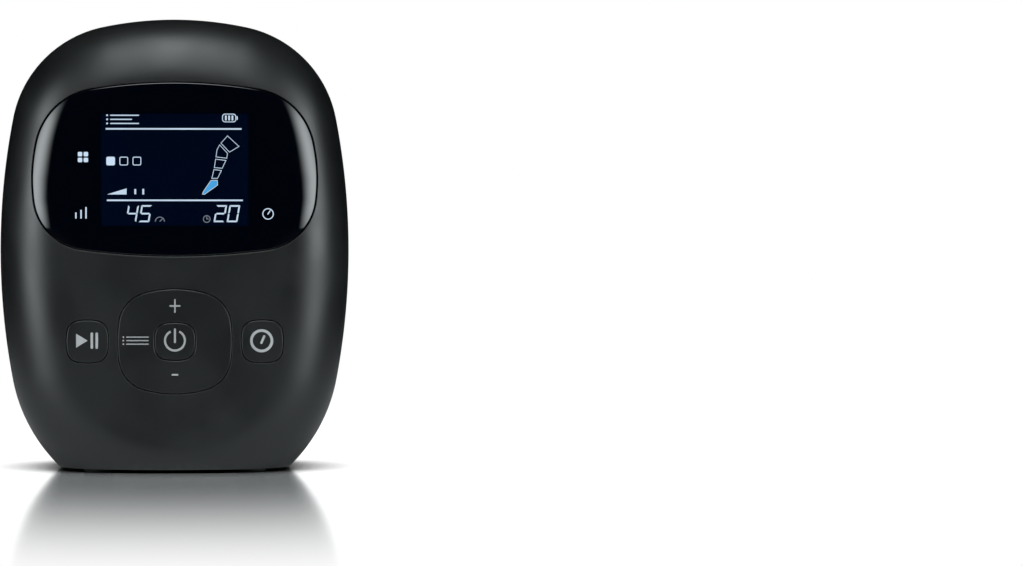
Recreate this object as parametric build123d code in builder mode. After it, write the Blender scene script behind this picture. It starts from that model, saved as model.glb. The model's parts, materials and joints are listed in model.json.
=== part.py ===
from build123d import *
from dataclasses import dataclass, replace
from math import atan2, cos, degrees, radians, sin, sqrt
import os

# Compression therapy pump: a table-top air pump with a wrapped display window, keys and inner workings.
# It stands on +Z with its display facing -Y, and its origin is on the table under its middle.
# Lengths are millimetres and angles are degrees.

# ---------------------------------------------------------------- driving dimensions

# housing
BASE = 1.5  # underside of the shells, lifted off the table by the feet
FRONT_Y = -50.3  # front face where it meets the base
BACK_Y = 49.7
LEAN = 4.0  # the front face leans back this much
WALL = 2.6
FRONT_RADIUS = 28.0
BACK_RADIUS = 30.0
PARTING_Y = 5.7  # the two shells meet here
LIP = 2.0  # overlap of the tongue with the rear shell
LIP_INSET = 1.4
LIP_PLAY = 0.1
FIT = 0.3  # room left round loose pieces
BEYOND = 220.0  # past every side of the housing
VENT_Z, VENT_PITCH, VENT_COUNT = 66.0, 5.0, 7
VENT_WIDTH, VENT_HEIGHT = 44.0, 2.0

# display window
WINDOW_INSET = 0.1  # below the housing's own surface
WINDOW_THICK = 1.8
WINDOW_SEAT = 2.2  # depth of the ledge that the window is taped to
WINDOW_GAP = 0.35
LEDGE_THICK = 1.8
LEDGE_WIDTH = 5.0
DISPLAY_V = 128.5  # height of the display's middle up the face

# keys, placed on the front face by u to the right and v up from the base
KEY_V = 55.0
SIDE_KEY_U = 37.3
KEY_GAP = 0.35
KEY_PROUD = 0.3
KEY_EDGE = 0.5
KEY_SKIRT = 1.2
SKIRT_THICK = 1.0
KEY_WALL, PAD_WALL = 1.6, 1.8
EMBED = 0.5  # overlap that joins a plunger or an ear to its plate
SIDE_SKIRT = 3.2  # depths at which the skirts start
POWER_SKIRT = 3.9
PAD_SKIRT = 4.0
KEY_PLATE, PAD_PLATE = 1.8, 2.4
PLUNGER_RADIUS = 1.7
DOME_TOP = 7.0  # depth at which the plungers rest on the rubber domes
DOME_BOTTOM = 9.1
DOME_FOOT, DOME_HEAD = 3.1, 2.4
DOME_ROOM = 4.0  # radius of the mat's openings
PAD_REACH = 18.5  # plunger distance from the middle of the pad
PAD_PLUNGERS = [(0.0, PAD_REACH), (0.0, -PAD_REACH), (-PAD_REACH, 0.0)]

# crossed pivots of the pad
PIVOT_DEPTH = 4.8
PIN_RADIUS = 0.8
PIN_PLAY = 0.05
EAR_NEAR, EAR_FAR = 12.9, 15.4
PIN_REACH = EAR_FAR + 0.6
PIN_SHORT = 0.2
EAR_HALF, EAR_CORNER = 2.2, 0.5
RING_FRONT, RING_BACK = 4.0, 5.6
EAR_END = 6.1
FRAME_EAR_TOP = 3.5

# layers behind the keys and the window, as depths below the face
FRAME_DEPTH, FRAME_THICK = 6.8, 1.2
MAT_DEPTH, BOARD_DEPTH = 9.2, 10.2
BOARD_BACK = 11.8
BOARD_HALF_WIDTH, BOARD_BOTTOM, BOARD_TOP = 50.0, 26.0, 174.0
KEY_POSTS = [(-40.0, 31.0), (40.0, 31.0), (-42.0, 80.0), (42.0, 80.0)]
TOP_POSTS = [(-30.0, 169.5), (30.0, 169.5)]
POST_CORE = 2.2
POST_STEP = 1.3
POST_PLAY = 0.05
BOARD_PILOT_LENGTH, BOARD_SCREW_LENGTH = 6.0, 6.5
FRAME_SIZE, FRAME_CORNER, FRAME_RIM = (94.0, 59.0), 10.0, 2.5
FRAME_V = KEY_V + 1.0
DISPLAY_SIZE = (76.0, 60.0)
PANEL_SIZE = (74.0, 57.0)
PANEL_POCKET, PANEL_POCKET_DEPTH = (68.0, 52.0), 1.5
BOARD_CORNER = 14.0
PROCESSOR_AT, PROCESSOR_SIDE = (12.0, 118.0), 12.0
DRIVERS_AT, DRIVER_SIZE = [(-8, 132), (12, 138), (34, 120)], (5.0, 6.0)
CAPACITORS_AT, CAPACITOR_RADIUS, CAPACITOR_HEIGHT = [(34, 66), (25, 66)], 4.0, 8.0
CONNECTORS_AT, CONNECTOR_SIZE, CONNECTOR_HEIGHT = [(-24, 150), (0, 150), (24, 150), (-36, 60)], (14.0, 6.0), 6.5
CHIP_HEIGHT = 1.6
BUZZER_AT, BUZZER_RADIUS, BUZZER_HEIGHT = (-36, 128), 6.0, 5.5
SENSOR_SIDE = 10.0
DISPLAY_FRONT, DISPLAY_SPLIT = 4.5, 6.5
SENSOR_X = -16.0
SENSOR_BACK = BOARD_BACK + 6.0
SENSOR_BEND = 43.0  # depth at which the sensor hose turns level

# case screws and feet
CASE_POSTS = [(-55.4, 29.0), (55.4, 29.0), (-64.0, 150.0), (64.0, 150.0)]
POST_RADIUS = 4.8
LOW_POST_LENGTH, HIGH_POST_LENGTH = 46.0, 20.0
FEET = [(-33.0, -31.0), (33.0, -31.0), (-33.0, 31.0), (33.0, 31.0)]
FOOT_RADIUS = 6.0
FOOT_RECESS = 1.0
FOOT_EDGE, FOOT_PLAY = 0.5, 0.1
WELL_RADIUS, WELL_FLOOR = 3.2, 4.0  # the case screws' wells and what is left under their heads
CASE_SCREW_LENGTH, CASE_PILOT_LENGTH = 18.0, 14.0

# screws and the holes for them, as radii
THREAD = 1.25
THREAD_PLAY = 1.7
BOARD_THREAD = 0.95
BOARD_PILOT = 1.0
BOSS_RADIUS = 3.2

# chassis plate, clamped between the posts of the two shells
CHASSIS_BACK = PARTING_Y + 2.0

# battery
CELL_RADIUS, CELL_LENGTH = 9.2, 65.0
CELL_Y = -12.3
CELLS_Z = [15.5, 35.0]
HOLDER_BACK = -0.6
HOLDER_FLOOR, HOLDER_TOP, CRADLE_TOP = 5.0, 53.0, 46.0
HOLDER_THICK, HOLDER_END, CELL_PLAY = 2.0, 3.0, 0.2
CRADLES_X = [-17.0, -1.0, 15.0]
CONTACT_THICK, CONTACT_REACH = 0.5, 4.0
HOLDER_SCREWS = [(-28.0, 49.5), (28.0, 49.5)]

# air pump
PUMP_Y, PUMP_Z = 24.7, 34.0
CASE_SIDE = 26.0
CASE_WALL = 3.0
LUG_RISE, LUG_REACH, LUG_HEIGHT = 10.0, 16.5, 6.0
HEAD_SCREW = 10.6
MOTOR_RADIUS, MOTOR_END = 12.0, 41.0
SHAFT_RADIUS = 1.5
SHAFT_PLAY = 0.05
CRANK_THROW = 1.0
CRANK_RADIUS = 4.5
ROD_BORE = CRANK_RADIUS + 2 * CRANK_THROW + 0.15
ROD_WALL = 1.8
HEAD_HEIGHT = 12.0
NIPPLE_RADIUS, NIPPLE_LENGTH = 1.9, 6.0
PORT_RADIUS = 0.9
HEAD_PORT_RISE = 7.5
CASE_CORNER, CAVITY_CORNER = 3.0, 5.0
CASE_OPENING, CASE_WINDOW, BEARING_RADIUS = 8.0, 9.0, 3.0
HEAD_THREAD, HEAD_THREAD_PLAY, HEAD_THREAD_LENGTH = 1.2, 1.4, 9.0
MOTOR_WALL = 1.0
CAP_LIP, CAP_THICK, CAP_BOSS = 2.0, 1.5, (4.5, 3.5)
TERMINALS_Z, TERMINAL_SIZE = (-7.0, 7.0), (4.0, 2.4, 0.6)
MAGNET_THICK, MAGNET_GAP, MAGNET_LENGTH = 1.8, 5.0, 19.0
ROTOR_RADIUS, ROTOR_LENGTH = 8.6, 18.0
CHAMBER_RADIUS, CHAMBER_HEIGHT = 9.0, 4.4
CLAMP_RADIUS, CLAMP_THICK = 5.0, 1.2
MOUNT_RADIUS = 3.4
FILTER_NECK, FILTER_BODY = (3.2, 5.0), (5.6, 9.0)  # radius and length

# manifold, valves, hoses and outlets
OUTLETS_X = [-24.0, -8.0, 8.0, 24.0]
MANIFOLD_LEFT, MANIFOLD_RIGHT = -37.0, 37.0
MANIFOLD_FRONT, MANIFOLD_BACK = 13.7, 40.7
MANIFOLD_BOTTOM, MANIFOLD_TOP = 93.0, 105.0
LEG_WIDTH = 8.0
VALVE_Y, HOSE_Y = 21.7, 37.2
VALVE_SIDE, VALVE_HEIGHT, VALVE_BORE = 13.0, 20.0, 2.65
PLUNGER_LENGTH, PLUNGER_SIZE = 12.0, 2.5
SPRING_WIRE, SPRING_RADIUS, SPRING_TURNS = 0.5, 1.8, 4
GALLERY_RADIUS = 1.5
COIL_TOP = 2.0
SOLDER_PIN, SOLDER_PIN_SPREAD, SOLDER_PIN_RISE = 0.4, 2.5, 3.0
SUPPLY_X = -31.0
HOSE_BORE, HOSE_RADIUS = 2.0, 3.0
OUTLET_Z = 132.0
OUTLET_RADIUS, OUTLET_DEPTH = 3.0, 10.0
OUTLET_GROOVE = (4.6, 5.2, 0.4)  # inner and outer radius, and depth
SOCKET_SIZE, SOCKET_CORNER = (62.0, 18.0), 5.0
FLANGE_SIZE, FLANGE_THICK = (80.0, 16.0), 2.5
SOCKET_THREAD, SOCKET_THREAD_PLAY = 1.0, 1.4
SOCKET_FRONT = 34.7
SOCKET_SCREWS = [(-36.0, OUTLET_Z), (36.0, OUTLET_Z)]
SOCKET_SEAT = 43.1
JACK_X, JACK_Z = -22.0, 24.0
JACK_RADIUS, JACK_BORE, JACK_DEPTH, JACK_LENGTH = 4.0, 2.75, 9.0, 16.0
JACK_FLANGE, JACK_FLANGE_THICK, JACK_PLAY = 2.0, 2.4, 0.2
JACK_PIN, JACK_PIN_END, JACK_PIN_EDGE = 1.05, 0.5, 0.3  # radius, how far it stays inside the mouth, chamfer
JACK_ROOT, JACK_ROOT_LENGTH = 1.4, 4.0

PUMP_AXIS = Vector(0, PUMP_Y, PUMP_Z)
CASE_TOP = PUMP_Z + CASE_SIDE / 2
BACK_INNER = BACK_Y - WALL
MANIFOLD_MID = (MANIFOLD_BOTTOM + MANIFOLD_TOP) / 2
LEFT, RIGHT = (-1, 0, 0), (1, 0, 0)
FORWARD, BACKWARD = (0, -1, 0), (0, 1, 0)
UP, DOWN = (0, 0, 1), (0, 0, -1)
# place, size and corner of the openings for the sensor hose and the wires, and of a lightening window
CHASSIS_OPENINGS = [((-SENSOR_X, MANIFOLD_MID), (10, 10), 3), ((0, 74), (36, 12), 4), ((0, 154), (70, 30), 10)]

FACE = Plane(
    origin=(0, FRONT_Y, BASE),
    x_dir=(1, 0, 0),
    z_dir=(0, -cos(radians(LEAN)), sin(radians(LEAN))),
)
BACK = Plane(origin=(0, BACK_Y, 0), x_dir=(-1, 0, 0), z_dir=(0, 1, 0))
PARTING = Plane(origin=(0, PARTING_Y, 0), x_dir=(-1, 0, 0), z_dir=(0, 1, 0))
CRANK_PLANE = Plane(PUMP_AXIS, x_dir=(0, 1, 0), z_dir=(1, 0, 0))


# ---------------------------------------------------------------- outlines and tools


@dataclass(frozen=True)
class Oval:
    """A closed outline of tangent arcs, alike left and right: crown, shoulders, flanks, hips and keel."""

    half_width: float
    top: float
    bottom: float
    waist: float
    r_crown: float
    r_flank: float
    r_keel: float
    r_shoulder: float
    r_hip: float

    def grown(self, by):
        """The outline that runs `by` outside this one all round."""
        return replace(
            self,
            half_width=self.half_width + by,
            top=self.top + by,
            bottom=self.bottom - by,
            r_crown=self.r_crown + by,
            r_flank=self.r_flank + by,
            r_keel=self.r_keel + by,
            r_shoulder=self.r_shoulder + by,
            r_hip=self.r_hip + by,
        )


def key_oval(half_width, half_height, r_flank, r_crown, r_corner):
    """An oval that is also alike top and bottom, about its own middle."""
    return Oval(half_width, half_height, -half_height, 0, r_crown, r_flank, r_crown, r_corner, r_corner)


HOUSING = Oval(75.1, 194.2, -18.3, 95.1, 149.1, 297.6, 117.2, 49.7, 70.1)
WINDOW = Oval(60.9, 165.9, 91.6, 124.9, 217.7, 74.2, 300.7, 28.8, 24.3)
SIDE_KEY = key_oval(8.85, 9.0, 24.0, 24.0, 5.0)
POWER_KEY = key_oval(8.6, 7.95, 20.0, 22.0, 5.0)
PAD = key_oval(24.25, 22.3, 62.0, 48.0, 14.5)
RING_OUTSIDE = key_oval(12.2, 11.6, 30.0, 30.0, 8.0)
RING_INSIDE = RING_OUTSIDE.grown(-1.8)


def touching_centre(a, reach_a, b, reach_b, lean):
    """The point that is reach_a from a and reach_b from b, on the side that lean points to."""
    across = b - a
    along = (reach_a**2 - reach_b**2 + across.length**2) / (2 * across.length)
    off = sqrt(reach_a**2 - along**2)
    foot = a + across * (along / across.length)
    side = Vector(-across.Y, across.X) / across.length
    return max((foot + side * off, foot - side * off), key=lean.dot)


def heading(start, end):
    """The direction from start to end, in degrees from the first axis."""
    return degrees(atan2(end.Y - start.Y, end.X - start.X))


def oval_face(oval):
    """The oval as a flat face, drawn as arcs from the crown down the right-hand side and mirrored."""
    crown = Vector(0, oval.top - oval.r_crown)
    flank = Vector(oval.half_width - oval.r_flank, oval.waist)
    keel = Vector(0, oval.bottom + oval.r_keel)
    shoulder = touching_centre(
        crown, oval.r_crown - oval.r_shoulder, flank, oval.r_flank - oval.r_shoulder, Vector(1, 1)
    )
    hip = touching_centre(keel, oval.r_keel - oval.r_hip, flank, oval.r_flank - oval.r_hip, Vector(1, -1))
    turns = [90, heading(crown, shoulder), heading(flank, shoulder), heading(flank, hip), heading(keel, hip), -90]
    arcs = [
        (crown, oval.r_crown),
        (shoulder, oval.r_shoulder),
        (flank, oval.r_flank),
        (hip, oval.r_hip),
        (keel, oval.r_keel),
    ]
    with BuildSketch(Plane.XY) as drawn:
        with BuildLine():
            for (centre, radius), start, end in zip(arcs, turns, turns[1:]):
                CenterArc(centre, radius, start, end - start)
            mirror(about=Plane.YZ)
        make_face()
    return drawn.sketch


def on_face(u, v, depth=0.0):
    """The plane parallel to the front face, `depth` below it, with its origin at (u, v)."""
    return Plane(FACE.from_local_coords((u, v, -depth)), x_dir=FACE.x_dir, z_dir=FACE.z_dir)


def face_oval(oval, u, v, front, back):
    """A prism of the oval, square to the face, between two depths below it."""
    with BuildPart() as prism:
        with BuildSketch(on_face(u, v, back)):
            add(oval_face(oval))
        extrude(amount=back - front)
    return prism.part


def face_plate(width, height, corner, u, v, front, back):
    """A plate with rounded corners, parallel to the face, between two depths below it."""
    with BuildPart() as plate:
        with BuildSketch(on_face(u, v, back)):
            RectangleRounded(width, height, corner)
        extrude(amount=back - front)
    return plate.part


def face_discs(places, radius, front, back):
    """Round bars square to the face, one at each (u, v), between two depths below it."""
    with BuildPart() as discs:
        with BuildSketch(FACE.offset(-back)):
            with Locations(*places):
                Circle(radius)
        extrude(amount=back - front)
    return discs.part


def back_discs(places, radius, front, back):
    """Round bars along Y, one at each (x, z), from y = front to y = back."""
    with BuildPart() as discs:
        with BuildSketch(BACK.offset(back - BACK_Y)):
            with Locations(*[(-x, z) for x, z in places]):
                Circle(radius)
        extrude(amount=front - back)
    return discs.part


def rod(start, direction, radius, length):
    """A round bar from start, along direction."""
    with BuildPart() as bar:
        with BuildSketch(Plane(Vector(start), z_dir=Vector(direction))):
            Circle(radius)
        extrude(amount=length)
    return bar.part


def block(low, high):
    """A box between its lowest and highest corners."""
    size = Vector(high) - Vector(low)
    with BuildPart() as box:
        with Locations(Vector(low)):
            Box(size.X, size.Y, size.Z, align=(Align.MIN, Align.MIN, Align.MIN))
    return box.part


def pan_screws(seats, direction, shank_radius, shank_length):
    """Pan head screws whose heads seat on the given points and whose shanks run along direction."""
    direction = Vector(direction)
    head_height = 1.5 * shank_radius
    with BuildPart() as screws:
        for seat in seats:
            crown = Vector(seat) - direction * head_height
            add(rod(seat, direction, shank_radius, shank_length))
            add(rod(crown, direction, 2.1 * shank_radius, head_height))
            add(rod(crown, direction, 0.9 * shank_radius, head_height / 2), mode=Mode.SUBTRACT)
    return screws.part


def hose(points, radius):
    """A flexible hose whose middle line runs through the points, with tangent arcs at its corners."""
    with BuildPart() as tube:
        with BuildLine() as path:
            FilletPolyline(*points, radius=radius)
        with BuildSketch(Plane(path.line @ 0, z_dir=path.line % 0)):
            Circle(HOSE_RADIUS)
            Circle(HOSE_BORE, mode=Mode.SUBTRACT)
        sweep()
    return tube.part


# ---------------------------------------------------------------- housing


def housing_form(inset):
    """The closed solid that lies `inset` inside the housing's outer surface."""
    with BuildPart() as form:
        with BuildSketch(Plane.XZ):
            add(oval_face(HOUSING.grown(-inset)))
        extrude(amount=BACK_Y - FRONT_Y, both=True)
        split(bisect_by=FACE.offset(-inset), keep=Keep.BOTTOM)
        split(bisect_by=BACK.offset(-inset), keep=Keep.BOTTOM)
        fillet(form.faces().sort_by(Axis.Y)[0].edges(), FRONT_RADIUS - inset)
        fillet(form.faces().sort_by(Axis.Y)[-1].edges(), BACK_RADIUS - inset)
        split(bisect_by=Plane.XY.offset(BASE + inset), keep=Keep.TOP)
    return form.part


def front_zone(oval):
    """The oval's prism through the front of the housing."""
    return face_oval(oval, 0, 0, -WALL, FRONT_RADIUS)


outer = housing_form(0)
key_skin = housing_form(-KEY_PROUD)
inner = housing_form(WALL)
trim = housing_form(WALL / 2)

with BuildPart() as front_cover:
    add(outer)
    add(inner, mode=Mode.SUBTRACT)
    split(bisect_by=PARTING, keep=Keep.BOTTOM)
    # tongue that the rear shell slips over
    add((housing_form(LIP_INSET) - inner) & block((-BEYOND, PARTING_Y, 0), (BEYOND, PARTING_Y + LIP, BEYOND)))
    # ledge behind the window, then the rebate that the window drops into
    add((inner - housing_form(WINDOW_SEAT + LEDGE_THICK)) & front_zone(WINDOW.grown(2.0)))
    add((outer - housing_form(WINDOW_SEAT)) & front_zone(WINDOW.grown(WINDOW_GAP)), mode=Mode.SUBTRACT)
    add(front_zone(WINDOW.grown(-LEDGE_WIDTH)), mode=Mode.SUBTRACT)
    # key holes
    add(face_oval(PAD.grown(KEY_GAP), 0, KEY_V, -WALL, 2 * WALL), mode=Mode.SUBTRACT)
    for u in (-SIDE_KEY_U, SIDE_KEY_U):
        add(face_oval(SIDE_KEY.grown(KEY_GAP), u, KEY_V, -WALL, 2 * WALL), mode=Mode.SUBTRACT)
    # board posts: those round the keys step down to a core that passes through the key frame and the mat
    add(face_discs(KEY_POSTS, POST_CORE + POST_STEP, 0, FRAME_DEPTH) & trim)
    add(face_discs(KEY_POSTS, POST_CORE, FRAME_DEPTH, BOARD_DEPTH))
    add(face_discs(TOP_POSTS, POST_CORE + POST_STEP, 0, BOARD_DEPTH) & trim)
    pilots = face_discs(KEY_POSTS + TOP_POSTS, BOARD_PILOT, BOARD_DEPTH - BOARD_PILOT_LENGTH, BOARD_DEPTH)
    add(pilots, mode=Mode.SUBTRACT)
    # posts for the case screws, standing in the side walls
    add(back_discs(CASE_POSTS[:2], POST_RADIUS, PARTING_Y - LOW_POST_LENGTH, PARTING_Y) & trim)
    add(back_discs(CASE_POSTS[2:], POST_RADIUS, PARTING_Y - HIGH_POST_LENGTH, PARTING_Y) & trim)
    add(back_discs(CASE_POSTS, THREAD, PARTING_Y - CASE_PILOT_LENGTH, PARTING_Y), mode=Mode.SUBTRACT)
    # recesses for the two front feet
    with BuildSketch(Plane.XY.offset(BASE)):
        with Locations(*FEET[:2]):
            Circle(FOOT_RADIUS + FOOT_PLAY)
    extrude(amount=FOOT_RECESS, mode=Mode.SUBTRACT)
front_cover.part.label = "front_cover"

with BuildPart() as rear_cover:
    add(outer)
    add(inner, mode=Mode.SUBTRACT)
    split(bisect_by=PARTING, keep=Keep.TOP)
    groove_slab = block((-BEYOND, 0, 0), (BEYOND, PARTING_Y + LIP + LIP_PLAY, BEYOND))
    add(housing_form(LIP_INSET - LIP_PLAY) & groove_slab, mode=Mode.SUBTRACT)
    # screw wells, from the chassis plate to the back wall
    add(back_discs(CASE_POSTS, POST_RADIUS, CHASSIS_BACK, BACK_Y) & trim)
    add(back_discs(CASE_POSTS, THREAD_PLAY, CHASSIS_BACK, BACK_Y), mode=Mode.SUBTRACT)
    add(back_discs(CASE_POSTS, WELL_RADIUS, CHASSIS_BACK + WELL_FLOOR, BACK_Y), mode=Mode.SUBTRACT)
    # bosses for the outlet socket's screws
    add(back_discs(SOCKET_SCREWS, BOSS_RADIUS, SOCKET_SEAT, BACK_INNER + WALL / 2))
    add(back_discs(SOCKET_SCREWS, SOCKET_THREAD, SOCKET_SEAT, BACK_INNER + WALL / 2), mode=Mode.SUBTRACT)
    # vent slots behind the pump
    with BuildSketch(BACK.offset(-2 * WALL)):
        with Locations((0, VENT_Z)):
            with GridLocations(0, VENT_PITCH, 1, VENT_COUNT):
                SlotOverall(VENT_WIDTH, VENT_HEIGHT)
    extrude(amount=3 * WALL, mode=Mode.SUBTRACT)
    # openings for the outlet socket and the power jack
    with BuildSketch(BACK.offset(-2 * WALL)):
        with Locations((0, OUTLET_Z)):
            RectangleRounded(*SOCKET_SIZE, SOCKET_CORNER)
        with Locations((-JACK_X, JACK_Z)):
            Circle(JACK_RADIUS + JACK_PLAY)
    extrude(amount=3 * WALL, mode=Mode.SUBTRACT)
    # recesses for the two rear feet
    with BuildSketch(Plane.XY.offset(BASE)):
        with Locations(*FEET[2:]):
            Circle(FOOT_RADIUS + FOOT_PLAY)
    extrude(amount=FOOT_RECESS, mode=Mode.SUBTRACT)
rear_cover.part.label = "rear_cover"

with BuildPart() as window:
    add(housing_form(WINDOW_INSET) - housing_form(WINDOW_INSET + WINDOW_THICK))
    add(front_zone(WINDOW), mode=Mode.INTERSECT)
window.part.label = "window"

with BuildPart() as window_tape:
    add(housing_form(WINDOW_INSET + WINDOW_THICK) - housing_form(WINDOW_SEAT))
    add(front_zone(WINDOW.grown(-FIT)), mode=Mode.INTERSECT)
    add(front_zone(WINDOW.grown(FIT - LEDGE_WIDTH)), mode=Mode.SUBTRACT)
window_tape.part.label = "window_tape"

with BuildPart() as rubber_feet:
    with BuildSketch(Plane.XY):
        with Locations(*FEET):
            Circle(FOOT_RADIUS)
    extrude(amount=BASE + FOOT_RECESS)
    chamfer(rubber_feet.faces().group_by(Axis.Z)[0].edges(), FOOT_EDGE)
rubber_feet.part.label = "rubber_feet"

with BuildPart() as case_screws:
    add(pan_screws([(x, CHASSIS_BACK + WELL_FLOOR, z) for x, z in CASE_POSTS], FORWARD, THREAD, CASE_SCREW_LENGTH))
case_screws.part.label = "case_screws"


# ---------------------------------------------------------------- keys


def front_edges(piece):
    """The outer edges round the front of a key."""
    front = piece.faces().filter_by(lambda face: face.normal_at().dot(FACE.z_dir) > 0.7)
    edges = front.edges()
    return ShapeList([edge for edge in edges if sum(edge.is_same(other) for other in edges) == 1])


def key_cap(oval, u, v, skirt):
    """A key with a softened front edge, a skirt that keeps it in its hole and a plunger behind it."""
    with BuildPart() as cap:
        add(face_oval(oval, u, v, -WALL, skirt + SKIRT_THICK) & key_skin)
        chamfer(front_edges(cap), KEY_EDGE)
        add(face_oval(oval.grown(KEY_SKIRT), u, v, skirt, skirt + SKIRT_THICK))
        add(face_oval(oval.grown(-KEY_WALL), u, v, KEY_PLATE, skirt + SKIRT_THICK), mode=Mode.SUBTRACT)
        add(face_discs([(u, v)], PLUNGER_RADIUS, KEY_PLATE - EMBED, DOME_TOP))
    return cap.part


def rubber_domes(places):
    """Rubber domes between the plungers and the board."""
    with BuildPart() as domes:
        for u, v in places:
            with Locations(on_face(u, v, DOME_BOTTOM)):
                Cone(DOME_FOOT, DOME_HEAD, DOME_BOTTOM - DOME_TOP, align=(Align.CENTER, Align.CENTER, Align.MIN))
    return domes.part


with BuildPart() as play_pause_button:
    add(key_cap(SIDE_KEY, -SIDE_KEY_U, KEY_V, SIDE_SKIRT))
play_pause_button.part.label = "play_pause_button"

with BuildPart() as timer_button:
    add(key_cap(SIDE_KEY, SIDE_KEY_U, KEY_V, SIDE_SKIRT))
timer_button.part.label = "timer_button"

with BuildPart() as power_button:
    add(key_cap(POWER_KEY, 0, KEY_V, POWER_SKIRT))
power_button.part.label = "power_button"

pad_plungers = [(u, KEY_V + v) for u, v in PAD_PLUNGERS]
pivot = on_face(0, KEY_V, PIVOT_DEPTH)
with BuildPart() as four_way_pad:
    add(face_oval(PAD, 0, KEY_V, -KEY_PROUD, PAD_SKIRT + SKIRT_THICK))
    chamfer(front_edges(four_way_pad), KEY_EDGE)
    add(face_oval(PAD.grown(KEY_SKIRT), 0, KEY_V, PAD_SKIRT, PAD_SKIRT + SKIRT_THICK))
    add(face_oval(PAD.grown(-PAD_WALL), 0, KEY_V, PAD_PLATE, PAD_SKIRT + SKIRT_THICK), mode=Mode.SUBTRACT)
    add(face_oval(POWER_KEY.grown(KEY_GAP), 0, KEY_V, -WALL, WALL), mode=Mode.SUBTRACT)
    add(face_discs(pad_plungers, PLUNGER_RADIUS, PAD_PLATE - EMBED, DOME_TOP))
    # ears that hang on the ring's side pins
    for side in (-1, 1):
        ear_u = side * (EAR_NEAR + EAR_FAR) / 2
        add(face_plate(EAR_FAR - EAR_NEAR, 2 * EAR_HALF, EAR_CORNER, ear_u, KEY_V, PAD_PLATE - EMBED, EAR_END))
    ear_holes = rod(pivot.origin - pivot.x_dir * PIN_REACH, pivot.x_dir, PIN_RADIUS + PIN_PLAY, 2 * PIN_REACH)
    add(ear_holes, mode=Mode.SUBTRACT)
four_way_pad.part.label = "four_way_pad"

with BuildPart() as gimbal_ring:
    add(face_oval(RING_OUTSIDE, 0, KEY_V, RING_FRONT, RING_BACK))
    for direction in (pivot.x_dir, pivot.x_dir * -1, pivot.y_dir, pivot.y_dir * -1):
        add(rod(pivot.origin, direction, PIN_RADIUS, EAR_FAR - PIN_SHORT))
    add(face_oval(RING_INSIDE, 0, KEY_V, RING_FRONT - 1, RING_BACK + 1), mode=Mode.SUBTRACT)
gimbal_ring.part.label = "gimbal_ring"

key_plungers = [(-SIDE_KEY_U, KEY_V), (SIDE_KEY_U, KEY_V), (0, KEY_V)] + pad_plungers
with BuildPart() as key_frame:
    width, height = FRAME_SIZE
    add(face_plate(width, height, FRAME_CORNER, 0, FRAME_V, FRAME_DEPTH, MAT_DEPTH))
    width, height = width - 2 * FRAME_RIM, height - 2 * FRAME_RIM
    rim_corner = FRAME_CORNER - FRAME_RIM
    add(face_plate(width, height, rim_corner, 0, FRAME_V, FRAME_DEPTH + FRAME_THICK, MAT_DEPTH), mode=Mode.SUBTRACT)
    # ears that hold the ring's upper and lower pins
    for side in (-1, 1):
        ear_v = KEY_V + side * (EAR_NEAR + EAR_FAR) / 2
        add(face_plate(2 * EAR_HALF, EAR_FAR - EAR_NEAR, EAR_CORNER, 0, ear_v, FRAME_EAR_TOP, FRAME_DEPTH + EMBED))
    ear_holes = rod(pivot.origin - pivot.y_dir * PIN_REACH, pivot.y_dir, PIN_RADIUS + PIN_PLAY, 2 * PIN_REACH)
    add(ear_holes, mode=Mode.SUBTRACT)
    add(face_discs(key_plungers, DOME_ROOM - 0.5, FRAME_DEPTH - 1, MAT_DEPTH), mode=Mode.SUBTRACT)
    # rims round the posts press on the mat
    add(face_discs(KEY_POSTS, POST_CORE + 1.8, FRAME_DEPTH, MAT_DEPTH))
    add(face_discs(KEY_POSTS, POST_CORE + POST_PLAY, FRAME_DEPTH - 1, MAT_DEPTH), mode=Mode.SUBTRACT)
key_frame.part.label = "key_frame"

with BuildPart() as keypad_mat:
    add(face_plate(*FRAME_SIZE, FRAME_CORNER, 0, FRAME_V, MAT_DEPTH, BOARD_DEPTH))
    add(face_discs(key_plungers, DOME_ROOM, MAT_DEPTH - 1, BOARD_DEPTH), mode=Mode.SUBTRACT)
    add(face_discs(KEY_POSTS, POST_CORE + POST_PLAY, MAT_DEPTH - 1, BOARD_DEPTH), mode=Mode.SUBTRACT)
keypad_mat.part.label = "keypad_mat"

with BuildPart() as play_pause_dome:
    add(rubber_domes([(-SIDE_KEY_U, KEY_V)]))
play_pause_dome.part.label = "play_pause_dome"

with BuildPart() as timer_dome:
    add(rubber_domes([(SIDE_KEY_U, KEY_V)]))
timer_dome.part.label = "timer_dome"

with BuildPart() as power_dome:
    add(rubber_domes([(0, KEY_V)]))
power_dome.part.label = "power_dome"

with BuildPart() as pad_domes:
    add(rubber_domes(pad_plungers))
pad_domes.part.label = "pad_domes"

# ---------------------------------------------------------------- electronics

board_v = (BOARD_BOTTOM + BOARD_TOP) / 2
with BuildPart() as control_board:
    height = BOARD_TOP - BOARD_BOTTOM
    add(face_plate(2 * BOARD_HALF_WIDTH, height, BOARD_CORNER, 0, board_v, BOARD_DEPTH, BOARD_BACK))
    holes = face_discs(KEY_POSTS + TOP_POSTS, BOARD_THREAD + THREAD / 5, BOARD_DEPTH - 1, BOARD_BACK)
    add(holes, mode=Mode.SUBTRACT)
control_board.part.label = "control_board"

with BuildPart() as board_screws:
    board_seats = [on_face(u, v, BOARD_BACK).origin for u, v in KEY_POSTS + TOP_POSTS]
    add(pan_screws(board_seats, FACE.z_dir, BOARD_THREAD, BOARD_SCREW_LENGTH))
board_screws.part.label = "board_screws"

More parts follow.
